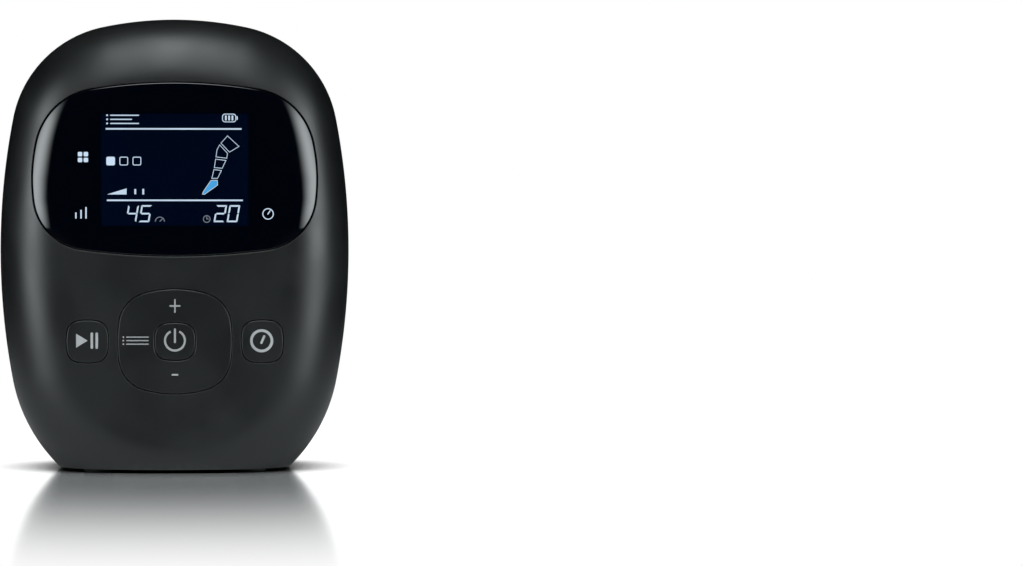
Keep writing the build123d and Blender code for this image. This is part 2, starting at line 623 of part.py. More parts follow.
with BuildPart() as display_frame:
    add(face_plate(*DISPLAY_SIZE, 2, 0, DISPLAY_V, DISPLAY_SPLIT, BOARD_DEPTH))
    pocket_end = DISPLAY_SPLIT + PANEL_POCKET_DEPTH
    add(face_plate(*PANEL_POCKET, 1, 0, DISPLAY_V, DISPLAY_SPLIT, pocket_end), mode=Mode.SUBTRACT)
display_frame.part.label = "display_frame"

with BuildPart() as display_panel:
    add(face_plate(*PANEL_SIZE, 1, 0, DISPLAY_V, DISPLAY_FRONT, DISPLAY_SPLIT))
display_panel.part.label = "display_panel"

with BuildPart() as board_parts:
    # processor, driver chips, capacitors and wire connectors on the back of the board
    chip_back = BOARD_BACK + CHIP_HEIGHT
    add(face_plate(PROCESSOR_SIDE, PROCESSOR_SIDE, EAR_CORNER, *PROCESSOR_AT, BOARD_BACK, chip_back))
    for u, v in DRIVERS_AT:
        add(face_plate(*DRIVER_SIZE, EAR_CORNER, u, v, BOARD_BACK, chip_back))
    add(face_discs(CAPACITORS_AT, CAPACITOR_RADIUS, BOARD_BACK, BOARD_BACK + CAPACITOR_HEIGHT))
    for u, v in CONNECTORS_AT:
        add(face_plate(*CONNECTOR_SIZE, EAR_CORNER, u, v, BOARD_BACK, BOARD_BACK + CONNECTOR_HEIGHT))
board_parts.part.label = "board_parts"

with BuildPart() as buzzer:
    buzzer_back = BOARD_BACK + BUZZER_HEIGHT
    add(face_discs([BUZZER_AT], BUZZER_RADIUS, BOARD_BACK, buzzer_back))
    add(face_discs([BUZZER_AT], PORT_RADIUS, buzzer_back - 1, buzzer_back), mode=Mode.SUBTRACT)
buzzer.part.label = "buzzer"

# the sensor's nipple points at the place where its hose turns level with the manifold
sensor_v = (MANIFOLD_MID - BASE + SENSOR_BEND * sin(radians(LEAN))) / cos(radians(LEAN))
with BuildPart() as pressure_sensor:
    nipple_end = SENSOR_BACK + NIPPLE_LENGTH
    add(face_plate(SENSOR_SIDE, SENSOR_SIDE, EAR_CORNER, SENSOR_X, sensor_v, BOARD_BACK, SENSOR_BACK))
    add(face_discs([(SENSOR_X, sensor_v)], NIPPLE_RADIUS, SENSOR_BACK, nipple_end))
    add(face_discs([(SENSOR_X, sensor_v)], PORT_RADIUS, SENSOR_BACK - 2, nipple_end), mode=Mode.SUBTRACT)
pressure_sensor.part.label = "pressure_sensor"

# ---------------------------------------------------------------- chassis and battery

pump_mounts_at = [(x, PUMP_Z + z) for x in (-LUG_REACH, LUG_REACH) for z in (-LUG_RISE, LUG_RISE)]
manifold_mounts = [(x, MANIFOLD_MID) for x in (MANIFOLD_LEFT + LEG_WIDTH / 2, MANIFOLD_RIGHT - LEG_WIDTH / 2)]

with BuildPart() as chassis_plate:
    with BuildSketch(PARTING):
        add(oval_face(HOUSING.grown(-WALL - FIT)))
        for place, size, corner in CHASSIS_OPENINGS:
            with Locations(place):
                RectangleRounded(*size, corner, mode=Mode.SUBTRACT)
    extrude(amount=CHASSIS_BACK - PARTING_Y)
    split(bisect_by=Plane.XY.offset(BASE + WALL + FIT), keep=Keep.TOP)
    screw_holes = CASE_POSTS + pump_mounts_at + manifold_mounts
    add(back_discs(screw_holes, THREAD_PLAY, PARTING_Y, CHASSIS_BACK), mode=Mode.SUBTRACT)
    add(back_discs(HOLDER_SCREWS, THREAD, PARTING_Y, CHASSIS_BACK), mode=Mode.SUBTRACT)
chassis_plate.part.label = "chassis_plate"

cell_end = CELL_LENGTH / 2
with BuildPart() as battery_cells:
    for z in CELLS_Z:
        add(rod((-cell_end, CELL_Y, z), RIGHT, CELL_RADIUS, CELL_LENGTH))
    chamfer(battery_cells.edges().filter_by(GeomType.CIRCLE), KEY_EDGE)
battery_cells.part.label = "battery_cells"

holder_end = cell_end + HOLDER_END
holder_front = HOLDER_BACK - HOLDER_THICK
cradle_front = CELL_Y - 0.8
with BuildPart() as battery_holder:
    add(block((-holder_end, holder_front, HOLDER_FLOOR), (holder_end, HOLDER_BACK, HOLDER_TOP)))
    for x in (-holder_end, *CRADLES_X, holder_end - HOLDER_THICK):
        add(block((x, cradle_front, HOLDER_FLOOR), (x + HOLDER_THICK, holder_front, CRADLE_TOP)))
    for z in CELLS_Z:
        add(rod((-cell_end - 1, CELL_Y, z), RIGHT, CELL_RADIUS + CELL_PLAY, CELL_LENGTH + 2), mode=Mode.SUBTRACT)
    fillet(battery_holder.edges().filter_by(Axis.Y).group_by(Axis.Z)[-1], CASE_CORNER)
    add(back_discs(HOLDER_SCREWS, BOSS_RADIUS, HOLDER_BACK, PARTING_Y))
    add(back_discs(HOLDER_SCREWS, THREAD + CELL_PLAY, holder_front, PARTING_Y), mode=Mode.SUBTRACT)
battery_holder.part.label = "battery_holder"

with BuildPart() as battery_contacts:
    # one strip joins the two cells at the left, and two tabs lie at the right
    front, back = CELL_Y - CONTACT_REACH, CELL_Y + CONTACT_REACH
    strip_low = (-cell_end - CONTACT_THICK, front, CELLS_Z[0] - CONTACT_REACH)
    add(block(strip_low, (-cell_end, back, CELLS_Z[1] + CONTACT_REACH)))
    for z in CELLS_Z:
        add(block((cell_end, front, z - CONTACT_REACH), (cell_end + CONTACT_THICK, back, z + CONTACT_REACH)))
battery_contacts.part.label = "battery_contacts"

# ---------------------------------------------------------------- air pump

rim_top = CASE_TOP + 1.0
disc_bottom, disc_top = CASE_TOP + 1.5, CASE_TOP + 2.5
half = CASE_SIDE / 2
cavity = CASE_SIDE - 2 * CASE_WALL
head_corners = [(x, PUMP_Y + y) for x in (-HEAD_SCREW, HEAD_SCREW) for y in (-HEAD_SCREW, HEAD_SCREW)]

with BuildPart() as crankcase:
    with BuildSketch(Plane.XY.offset(PUMP_Z - half)):
        with Locations((0, PUMP_Y)):
            RectangleRounded(CASE_SIDE, CASE_SIDE, CASE_CORNER)
    extrude(amount=CASE_SIDE)
    # mounting lugs, towards the chassis
    with BuildSketch(Plane((0, PUMP_Y - half, PUMP_Z), x_dir=(-1, 0, 0), z_dir=(0, 1, 0))):
        with Locations((0, -LUG_RISE), (0, LUG_RISE)):
            SlotOverall(2 * LUG_REACH + LUG_HEIGHT, LUG_HEIGHT)
    extrude(amount=CASE_WALL)
    with BuildSketch(Plane.XY.offset(PUMP_Z - cavity / 2)):
        with Locations((0, PUMP_Y)):
            RectangleRounded(cavity, cavity, CAVITY_CORNER)
    extrude(amount=cavity, mode=Mode.SUBTRACT)
    # opening under the diaphragm, assembly window at the left and bearing bore at the right
    add(rod(PUMP_AXIS, UP, CASE_OPENING, CASE_SIDE), mode=Mode.SUBTRACT)
    add(rod(PUMP_AXIS, LEFT, CASE_WINDOW, CASE_SIDE), mode=Mode.SUBTRACT)
    add(rod(PUMP_AXIS, RIGHT, BEARING_RADIUS, CASE_SIDE), mode=Mode.SUBTRACT)
    for x, y in head_corners:
        add(rod((x, y, CASE_TOP), DOWN, HEAD_THREAD, HEAD_THREAD_LENGTH), mode=Mode.SUBTRACT)
    add(back_discs(pump_mounts_at, THREAD, PUMP_Y - half, PUMP_Y), mode=Mode.SUBTRACT)
crankcase.part.label = "crankcase"

with BuildPart() as motor_case:
    add(rod(PUMP_AXIS + Vector(half, 0, 0), RIGHT, MOTOR_RADIUS, MOTOR_END - half))
    inside = PUMP_AXIS + Vector(half + MOTOR_WALL, 0, 0)
    add(rod(inside, RIGHT, MOTOR_RADIUS - MOTOR_WALL, MOTOR_END), mode=Mode.SUBTRACT)
    add(rod(PUMP_AXIS, RIGHT, BEARING_RADIUS, MOTOR_END), mode=Mode.SUBTRACT)
motor_case.part.label = "motor_case"

with BuildPart() as motor_end_cap:
    add(rod(PUMP_AXIS + Vector(MOTOR_END - CAP_LIP, 0, 0), RIGHT, MOTOR_RADIUS - MOTOR_WALL, CAP_LIP))
    add(rod(PUMP_AXIS + Vector(MOTOR_END, 0, 0), RIGHT, MOTOR_RADIUS, CAP_THICK))
    add(rod(PUMP_AXIS + Vector(MOTOR_END, 0, 0), RIGHT, *CAP_BOSS))
    add(rod(PUMP_AXIS, RIGHT, BEARING_RADIUS, MOTOR_END + CAP_LIP), mode=Mode.SUBTRACT)
    add(rod(PUMP_AXIS, RIGHT, SHAFT_RADIUS + CELL_PLAY, 2 * MOTOR_END), mode=Mode.SUBTRACT)
    # solder terminals
    reach, width, thick = TERMINAL_SIZE
    for rise in TERMINALS_Z:
        foot = PUMP_AXIS + Vector(MOTOR_END + CAP_THICK, 0, rise)
        add(block(foot - Vector(0, width, thick) / 2, foot + Vector(2 * reach, width, thick) / 2))
motor_end_cap.part.label = "motor_end_cap"

with BuildPart() as motor_bearings:
    for start, length in ((half - CASE_WALL, 2 * CASE_WALL), (MOTOR_END - CAP_LIP, 2 * CAP_LIP)):
        add(rod(PUMP_AXIS + Vector(start, 0, 0), RIGHT, BEARING_RADIUS, length))
    add(rod(PUMP_AXIS, RIGHT, SHAFT_RADIUS + SHAFT_PLAY, 2 * MOTOR_END), mode=Mode.SUBTRACT)
motor_bearings.part.label = "motor_bearings"

with BuildPart() as motor_magnets:
    with BuildSketch(CRANK_PLANE.offset(half + 4.0)):
        Circle(MOTOR_RADIUS - MOTOR_WALL)
        Circle(MOTOR_RADIUS - MOTOR_WALL - MAGNET_THICK, mode=Mode.SUBTRACT)
        Rectangle(MAGNET_GAP, 2 * MOTOR_RADIUS, mode=Mode.SUBTRACT)
    extrude(amount=MAGNET_LENGTH)
motor_magnets.part.label = "motor_magnets"

with BuildPart() as motor_rotor:
    with BuildSketch(CRANK_PLANE.offset(half + 4.5)):
        Circle(ROTOR_RADIUS)
        # winding slots between three poles
        with PolarLocations(ROTOR_RADIUS - 1, 3):
            Rectangle(2.4, 1.2, mode=Mode.SUBTRACT)
        with PolarLocations(5.6, 3):
            Circle(1.9, mode=Mode.SUBTRACT)
        Circle(SHAFT_RADIUS, mode=Mode.SUBTRACT)
    extrude(amount=ROTOR_LENGTH)
motor_rotor.part.label = "motor_rotor"

with BuildPart() as crankshaft:
    add(rod(PUMP_AXIS - Vector(6, 0, 0), RIGHT, SHAFT_RADIUS, MOTOR_END + 8.0))
    # at rest the eccentric stands to the rear, so that the rod is at the middle of its stroke
    add(rod(PUMP_AXIS + Vector(-3.0, CRANK_THROW, 0), RIGHT, CRANK_RADIUS, 6.0))
    with BuildSketch(CRANK_PLANE.offset(-6.0)):
        Circle(8.0)
        with Locations((6.0, 0)):
            Rectangle(10, 20, mode=Mode.SUBTRACT)
        Circle(3.0)
    extrude(amount=2.8)
crankshaft.part.label = "crankshaft"

with BuildPart() as connecting_rod:
    with BuildSketch(CRANK_PLANE.offset(-2.5)):
        Circle(ROD_BORE + ROD_WALL)
        Circle(ROD_BORE, mode=Mode.SUBTRACT)
        with Locations((0, ROD_BORE + 3.0)):
            Rectangle(4.8, 5.0)
    extrude(amount=5.0)
    add(rod((0, PUMP_Y, PUMP_Z + ROD_BORE + 2.0), UP, 2.4, half - ROD_BORE - 1.6))
    add(rod((0, PUMP_Y, disc_bottom - CLAMP_THICK), UP, CLAMP_RADIUS, CLAMP_THICK))
connecting_rod.part.label = "connecting_rod"

with BuildPart() as diaphragm:
    with BuildSketch(Plane.XZ.offset(-PUMP_Y)):
        with BuildLine():
            Polyline(
                (0, disc_bottom),
                (5.6, disc_bottom),
                (8.4, CASE_TOP),
                (12.8, CASE_TOP),
                (12.8, rim_top),
                (8.8, rim_top),
                (6.0, disc_top),
                (0, disc_top),
                close=True,
            )
        make_face()
    revolve(axis=Axis((0, PUMP_Y, 0), UP))
diaphragm.part.label = "diaphragm"

with BuildPart() as piston_cap:
    add(rod((0, PUMP_Y, disc_top), UP, CLAMP_RADIUS, CLAMP_THICK))
    add(rod((0, PUMP_Y, disc_top + CLAMP_THICK), UP, THREAD, EMBED))
piston_cap.part.label = "piston_cap"

head_top = rim_top + HEAD_HEIGHT
port_z = rim_top + HEAD_PORT_RISE
with BuildPart() as pump_head:
    with BuildSketch(Plane.XY.offset(rim_top)):
        with Locations((0, PUMP_Y)):
            RectangleRounded(CASE_SIDE, CASE_SIDE, CASE_CORNER)
    extrude(amount=HEAD_HEIGHT)
    add(rod((0, PUMP_Y, rim_top), UP, CHAMBER_RADIUS, CHAMBER_HEIGHT), mode=Mode.SUBTRACT)
    # outlet nipple at the left, inlet nipple at the right, each with its port into the chamber
    for side in (-1, 1):
        outwards = (side, 0, 0)
        add(rod((side * (half - 1), PUMP_Y, port_z), outwards, NIPPLE_RADIUS, NIPPLE_LENGTH + 1))
        add(rod((side * 3.0, PUMP_Y, port_z), outwards, PORT_RADIUS, half + NIPPLE_LENGTH), mode=Mode.SUBTRACT)
        add(rod((side * 4.0, PUMP_Y, rim_top + 4), UP, PORT_RADIUS, HEAD_PORT_RISE - 4), mode=Mode.SUBTRACT)
    for x, y in head_corners:
        add(rod((x, y, rim_top), UP, HEAD_THREAD_PLAY, HEAD_HEIGHT), mode=Mode.SUBTRACT)
pump_head.part.label = "pump_head"

with BuildPart() as pump_head_screws:
    add(pan_screws([(x, y, head_top) for x, y in head_corners], DOWN, HEAD_THREAD, HEAD_HEIGHT + HEAD_THREAD_LENGTH))
pump_head_screws.part.label = "pump_head_screws"

with BuildPart() as intake_filter:
    filter_start = Vector(half + 1.0, PUMP_Y, port_z)
    body_start = filter_start + Vector(FILTER_NECK[1], 0, 0)
    filter_end = body_start + Vector(FILTER_BODY[1], 0, 0)
    add(rod(filter_start, RIGHT, *FILTER_NECK))
    add(rod(body_start, RIGHT, *FILTER_BODY))
    add(rod(filter_start, RIGHT, HOSE_BORE, 7.0), mode=Mode.SUBTRACT)
    # intake holes in the outer end
    with BuildSketch(Plane(filter_end, x_dir=(0, 1, 0), z_dir=(1, 0, 0))):
        with PolarLocations(3.4, 6):
            Circle(0.8)
    extrude(amount=-5.0, mode=Mode.SUBTRACT)
intake_filter.part.label = "intake_filter"

with BuildPart() as pump_mounts:
    add(back_discs(pump_mounts_at, MOUNT_RADIUS, CHASSIS_BACK, PUMP_Y - half))
    add(back_discs(pump_mounts_at, THREAD_PLAY, CHASSIS_BACK, PUMP_Y - half), mode=Mode.SUBTRACT)
pump_mounts.part.label = "pump_mounts"

# ---------------------------------------------------------------- manifold, valves and hoses

with BuildPart() as valve_manifold:
    add(block((MANIFOLD_LEFT, MANIFOLD_FRONT, MANIFOLD_BOTTOM), (MANIFOLD_RIGHT, MANIFOLD_BACK, MANIFOLD_TOP)))
    for left in (MANIFOLD_LEFT, MANIFOLD_RIGHT - LEG_WIDTH):
        add(block((left, CHASSIS_BACK, MANIFOLD_BOTTOM), (left + LEG_WIDTH, MANIFOLD_FRONT, MANIFOLD_TOP)))
    fillet(valve_manifold.edges().filter_by(Axis.Z), GALLERY_RADIUS)
    add(rod((SUPPLY_X, PUMP_Y, MANIFOLD_BOTTOM + 1), DOWN, NIPPLE_RADIUS, NIPPLE_LENGTH + 1))
    add(rod((SENSOR_X, MANIFOLD_FRONT + 1, MANIFOLD_MID), FORWARD, NIPPLE_RADIUS, NIPPLE_LENGTH + 1))
    for x in OUTLETS_X:
        add(rod((x, HOSE_Y, MANIFOLD_TOP - 1), UP, NIPPLE_RADIUS, NIPPLE_LENGTH + 1))
    # air ways: a gallery along the block, a seat under each valve and a way out behind it
    add(rod((SUPPLY_X, VALVE_Y, MANIFOLD_MID), RIGHT, GALLERY_RADIUS, OUTLETS_X[-1] - SUPPLY_X), mode=Mode.SUBTRACT)
    add(rod((SUPPLY_X, VALVE_Y, MANIFOLD_MID), BACKWARD, GALLERY_RADIUS, PUMP_Y - VALVE_Y), mode=Mode.SUBTRACT)
    add(rod((SUPPLY_X, PUMP_Y, MANIFOLD_MID), DOWN, PORT_RADIUS, 20), mode=Mode.SUBTRACT)
    add(rod((SENSOR_X, VALVE_Y, MANIFOLD_MID), FORWARD, PORT_RADIUS, 20), mode=Mode.SUBTRACT)
    for x in OUTLETS_X:
        add(rod((x, VALVE_Y, MANIFOLD_MID), UP, PORT_RADIUS, 10), mode=Mode.SUBTRACT)
        add(rod((x, HOSE_Y, MANIFOLD_MID), UP, PORT_RADIUS, 20), mode=Mode.SUBTRACT)
    add(back_discs(manifold_mounts, THREAD, CHASSIS_BACK, CHASSIS_BACK + LEG_WIDTH), mode=Mode.SUBTRACT)
valve_manifold.part.label = "valve_manifold"

coil_top = MANIFOLD_TOP + VALVE_HEIGHT
bore_top = coil_top - COIL_TOP
with BuildPart() as valve_coils:
    with BuildSketch(Plane.XY.offset(MANIFOLD_TOP)):
        with Locations(*[(x, VALVE_Y) for x in OUTLETS_X]):
            RectangleRounded(VALVE_SIDE, VALVE_SIDE, 2)
    extrude(amount=VALVE_HEIGHT)
    for x in OUTLETS_X:
        add(rod((x, VALVE_Y, MANIFOLD_TOP), UP, VALVE_BORE, bore_top - MANIFOLD_TOP), mode=Mode.SUBTRACT)
        # two solder pins on top of each
        for side in (-1, 1):
            pin_foot = Vector(x + side * SOLDER_PIN_SPREAD, VALVE_Y, coil_top)
            reach = Vector(SOLDER_PIN, SOLDER_PIN, 0)
            add(block(pin_foot - reach, pin_foot + reach + Vector(0, 0, SOLDER_PIN_RISE)))
valve_coils.part.label = "valve_coils"

plunger_foot = MANIFOLD_TOP + 0.05
plunger_top = plunger_foot + PLUNGER_LENGTH
spring_height = bore_top - plunger_top - SPRING_WIRE
spring_foot = plunger_top + SPRING_WIRE / 2
valve_pieces = []
for number, x in enumerate(OUTLETS_X, start=1):
    with BuildPart() as valve_plunger:
        add(rod((x, VALVE_Y, plunger_foot), UP, 1.7, 1.0))
        add(rod((x, VALVE_Y, plunger_foot + 1.0), UP, PLUNGER_SIZE, PLUNGER_LENGTH - 1.0))
    valve_plunger.part.label = f"valve_plunger_{number}"

    with BuildPart() as valve_spring:
        with BuildLine() as coil:
            Helix(spring_height / SPRING_TURNS, spring_height, SPRING_RADIUS, center=(x, VALVE_Y, spring_foot))
        with BuildSketch(Plane(coil.line @ 0, z_dir=coil.line % 0)):
            Rectangle(SPRING_WIRE, SPRING_WIRE)
        sweep(is_frenet=True)
    valve_spring.part.label = f"valve_spring_{number}"
    valve_pieces += [valve_plunger, valve_spring]

with BuildPart() as chassis_screws:
    # battery holder to chassis, chassis to pump and chassis to manifold
    lug_back = PUMP_Y - half + CASE_WALL
    add(pan_screws([(x, holder_front, z) for x, z in HOLDER_SCREWS], BACKWARD, THREAD, CHASSIS_BACK - holder_front))
    add(pan_screws([(x, PARTING_Y, z) for x, z in pump_mounts_at], BACKWARD, THREAD, lug_back - PARTING_Y))
    add(pan_screws([(x, PARTING_Y, z) for x, z in manifold_mounts], BACKWARD, THREAD, LEG_WIDTH + GALLERY_RADIUS))
chassis_screws.part.label = "chassis_screws"

with BuildPart() as supply_hose:
    hose_start = (-half - 1.0, PUMP_Y, port_z)
    hose_end = (SUPPLY_X, PUMP_Y, MANIFOLD_BOTTOM - 1.0)
    add(hose([hose_start, (SUPPLY_X, PUMP_Y, port_z), hose_end], 10.0))
supply_hose.part.label = "supply_hose"

with BuildPart() as sensor_hose:
    bend = on_face(SENSOR_X, sensor_v, SENSOR_BEND).origin
    sensor_end = on_face(SENSOR_X, sensor_v, SENSOR_BACK + 1.0).origin
    add(hose([(SENSOR_X, MANIFOLD_FRONT - 1.0, MANIFOLD_MID), bend, sensor_end], 60.0))
sensor_hose.part.label = "sensor_hose"

socket_bottom = OUTLET_Z - SOCKET_SIZE[1] / 2 + FIT
with BuildPart() as outlet_hoses:
    with BuildSketch(Plane.XY.offset(MANIFOLD_TOP + 0.5)):
        with Locations(*[(x, HOSE_Y) for x in OUTLETS_X]):
            Circle(HOSE_RADIUS)
            Circle(HOSE_BORE, mode=Mode.SUBTRACT)
    extrude(amount=socket_bottom - MANIFOLD_TOP - 1.0)
outlet_hoses.part.label = "outlet_hoses"

with BuildPart() as outlet_socket:
    with BuildSketch(BACK):
        with Locations((0, OUTLET_Z)):
            RectangleRounded(SOCKET_SIZE[0] - 2 * FIT, SOCKET_SIZE[1] - 2 * FIT, SOCKET_CORNER - FIT)
    extrude(amount=SOCKET_FRONT - BACK_Y)
    # flange that is screwed to the rear cover's bosses
    with BuildSketch(BACK.offset(SOCKET_SEAT - BACK_Y)):
        with Locations((0, OUTLET_Z)):
            RectangleRounded(*FLANGE_SIZE, CASE_CORNER)
    extrude(amount=-FLANGE_THICK)
    # a ring groove round each outlet
    groove_in, groove_out, groove_depth = OUTLET_GROOVE
    with BuildSketch(BACK):
        with Locations(*[(-x, OUTLET_Z) for x in OUTLETS_X]):
            Circle(groove_out)
            Circle(groove_in, mode=Mode.SUBTRACT)
    extrude(amount=-groove_depth, mode=Mode.SUBTRACT)
    for x in OUTLETS_X:
        add(rod((x, HOSE_Y, socket_bottom + 1), DOWN, NIPPLE_RADIUS, NIPPLE_LENGTH + 1))
        add(rod((x, HOSE_Y, OUTLET_Z), DOWN, PORT_RADIUS, 20), mode=Mode.SUBTRACT)
        add(rod((x, HOSE_Y, OUTLET_Z), BACKWARD, PORT_RADIUS, BACK_Y - HOSE_Y), mode=Mode.SUBTRACT)
        add(rod((x, BACK_Y, OUTLET_Z), FORWARD, OUTLET_RADIUS, OUTLET_DEPTH), mode=Mode.SUBTRACT)
    add(back_discs(SOCKET_SCREWS, SOCKET_THREAD_PLAY, SOCKET_FRONT, BACK_Y), mode=Mode.SUBTRACT)
outlet_socket.part.label = "outlet_socket"

with BuildPart() as socket_screws:
    add(pan_screws([(x, SOCKET_SEAT - FLANGE_THICK, z) for x, z in SOCKET_SCREWS], BACKWARD, SOCKET_THREAD, 6.0))
socket_screws.part.label = "socket_screws"

jack_mouth = Vector(JACK_X, BACK_Y, JACK_Z)
with BuildPart() as dc_jack:
    add(rod(jack_mouth, FORWARD, JACK_RADIUS, JACK_LENGTH))
    add(rod((JACK_X, BACK_INNER - LIP_PLAY, JACK_Z), FORWARD, JACK_RADIUS + JACK_FLANGE, JACK_FLANGE_THICK))
    add(rod(jack_mouth, FORWARD, JACK_BORE, JACK_DEPTH), mode=Mode.SUBTRACT)
    add(rod(jack_mouth, FORWARD, JACK_ROOT, JACK_DEPTH + JACK_ROOT_LENGTH), mode=Mode.SUBTRACT)
dc_jack.part.label = "dc_jack"

with BuildPart() as dc_jack_pin:
    jack_floor = jack_mouth - Vector(0, JACK_DEPTH, 0)
    add(rod(jack_floor, BACKWARD, JACK_PIN, JACK_DEPTH - JACK_PIN_END))
    chamfer(dc_jack_pin.faces().sort_by(Axis.Y)[-1].edges(), JACK_PIN_EDGE)
    add(rod(jack_floor, FORWARD, JACK_ROOT, JACK_ROOT_LENGTH))
dc_jack_pin.part.label = "dc_jack_pin"

# ---------------------------------------------------------------- one file per piece

pieces = [front_cover, rear_cover, window, window_tape, rubber_feet, case_screws]
pieces += [play_pause_button, timer_button, power_button, four_way_pad, gimbal_ring, key_frame, keypad_mat]
pieces += [play_pause_dome, timer_dome, power_dome, pad_domes]
pieces += [control_board, board_screws, display_frame, display_panel, board_parts, buzzer, pressure_sensor]
pieces += [chassis_plate, battery_cells, battery_holder, battery_contacts]
pieces += [crankcase, motor_case, motor_end_cap, motor_bearings, motor_magnets, motor_rotor, crankshaft]
pieces += [connecting_rod, diaphragm, piston_cap, pump_head, pump_head_screws, intake_filter, pump_mounts]
pieces += [valve_manifold, valve_coils, chassis_screws, supply_hose, sensor_hose, outlet_hoses]
pieces += [outlet_socket, socket_screws, dc_jack, dc_jack_pin]
pieces += valve_pieces

os.makedirs("parts", exist_ok=True)
for piece in pieces:
    export_step(piece.part, f"parts/{piece.part.label}.step")
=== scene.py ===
import json
from collections import namedtuple
from math import asin, atan2, cos, pi, radians, sin, sqrt

import bmesh
import bpy
import numpy as np
from bpy.props import FloatProperty, FloatVectorProperty, PointerProperty
from bpy.types import Operator, Panel, PropertyGroup
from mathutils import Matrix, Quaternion, Vector
from mathutils.geometry import delaunay_2d_cdt


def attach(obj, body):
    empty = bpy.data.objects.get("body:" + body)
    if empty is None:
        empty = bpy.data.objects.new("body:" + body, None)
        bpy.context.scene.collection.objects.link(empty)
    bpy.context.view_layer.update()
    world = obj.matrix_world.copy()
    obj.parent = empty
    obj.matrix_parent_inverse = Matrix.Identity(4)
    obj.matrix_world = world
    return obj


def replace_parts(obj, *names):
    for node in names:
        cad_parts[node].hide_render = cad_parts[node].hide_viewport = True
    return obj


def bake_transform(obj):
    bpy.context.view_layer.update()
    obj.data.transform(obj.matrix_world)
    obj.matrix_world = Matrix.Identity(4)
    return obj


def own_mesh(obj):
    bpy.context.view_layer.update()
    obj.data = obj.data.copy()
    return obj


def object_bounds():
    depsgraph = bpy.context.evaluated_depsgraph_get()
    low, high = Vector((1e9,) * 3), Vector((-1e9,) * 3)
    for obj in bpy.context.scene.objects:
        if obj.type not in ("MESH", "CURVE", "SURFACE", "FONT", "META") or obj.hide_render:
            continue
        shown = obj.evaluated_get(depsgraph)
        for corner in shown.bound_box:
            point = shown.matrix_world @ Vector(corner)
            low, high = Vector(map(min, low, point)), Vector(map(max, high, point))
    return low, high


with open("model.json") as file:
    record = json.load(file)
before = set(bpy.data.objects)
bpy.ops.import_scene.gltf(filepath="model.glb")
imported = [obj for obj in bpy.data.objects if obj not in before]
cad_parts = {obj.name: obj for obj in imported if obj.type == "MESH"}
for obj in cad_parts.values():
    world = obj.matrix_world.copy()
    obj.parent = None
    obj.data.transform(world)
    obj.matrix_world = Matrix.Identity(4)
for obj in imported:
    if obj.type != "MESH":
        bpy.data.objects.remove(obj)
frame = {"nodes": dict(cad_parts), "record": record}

bl_info = {
    "name": "Compression therapy pump",
    "version": (1, 0, 0),
    "blender": (4, 5, 0),
    "location": "3D View > Sidebar > Pump",
    "description": "Shells, window, keys, icons, display and finishes of a compression therapy pump",
    "category": "Object",
}

CAD_BOX = [list(corner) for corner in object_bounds()]

# ---------------------------------------------------------------- sizes, in millimetres

MM = 0.001
BASE = 1.5  # underside of the shells
FRONT_Y, BACK_Y = -50.3, 49.7
LEAN = radians(4.0)
FRONT_RADIUS, BACK_RADIUS = 28.0, 30.0
PARTING_Y, PARTING_ROUND = 5.7, 0.35
WALL = 2.6

WINDOW_INSET, WINDOW_THICK, WINDOW_GAP = 0.1, 1.8, 0.35
WINDOW_END_WIDTH, WINDOW_END_SLOPE, WINDOW_TOP_SHARE = 9.0, 0.2, 0.5
DISPLAY_V, DISPLAY_HALF_WIDTH, DISPLAY_HALF_HEIGHT = 128.5, 31.6, 24.2
KEY_V, SIDE_KEY_U = 55.0, 37.3
KEY_GAP, KEY_PROUD, KEY_THICK = 0.35, 0.3, 3.2
FEET = [(-33.0, -31.0), (33.0, -31.0), (-33.0, 31.0), (33.0, 31.0)]
FOOT_RADIUS, FOOT_RECESS = 6.0, 0.9
CASE_POSTS = [(-55.4, 29.0), (55.4, 29.0), (-64.0, 150.0), (64.0, 150.0)]
WELL_RADIUS, WELL_END_Y = 3.2, 11.7
POST_RADIUS, POST_END_Y, SCREW_PLAY_RADIUS = 4.6, 7.75, 1.7
VENT_Z, VENT_PITCH, VENT_COUNT = 66.0, 5.0, 7
VENT_WIDTH, VENT_HEIGHT = 44.0, 2.0
OUTLET_Z, OUTLETS_X = 132.0, [-24.0, -8.0, 8.0, 24.0]
OUTLET_RADIUS, OUTLET_DEPTH, OUTLET_TUBE = 3.0, 10.0, 4.2
GROOVE_INNER, GROOVE_OUTER, GROOVE_DEPTH = 4.6, 5.2, 0.4
SOCKET_WIDTH, SOCKET_HEIGHT, SOCKET_CORNER, SOCKET_THICK, SOCKET_PLAY = 62.0, 18.0, 5.0, 4.0, 0.3
OUTLET_FLOOR = 1.0
JACK_X, JACK_Z, JACK_RADIUS, JACK_BORE, JACK_DEPTH, JACK_LENGTH = -22.0, 24.0, 4.0, 2.75, 9.0, 16.0
JACK_PLAY = 0.2
JACK_FLANGE, JACK_FLANGE_BACK, JACK_FLANGE_FRONT = 2.0, -5.1, -2.7

LENS_LIFT, KEY_LIFT = 0.03, 0.03  # half the thickness of the marks
LINE, THIN = 0.68, 0.32  # thick rules and thin lines on the display
SEGMENT_GAP = 0.12  # between a digit's bars
SIGN_V = 55.4  # the keys' signs are about this height

NET = 2.2  # spacing of the points that fill a surface
EDGE_STEP = 0.9  # spacing of the points along an outline
EDGE_TILT = radians(38)  # the front's net ends where its rounded edge leans this far
BACK_TILT = radians(76)
WINDOW_NET, BACK_NET, SOCKET_NET, MARK_NET = 1.4, 1.9, 1.6, 1.1  # the same for finer surfaces
KEY_STEP, PAD_STEP, MARK_STEP = 0.6, 0.7, 0.8  # and for finer outlines
SCREW_SIDES = 48
WELD, SOFT_WELD, SLIVER = 4e-6, 1e-6, 1e-7  # in metres: points closer than these become one

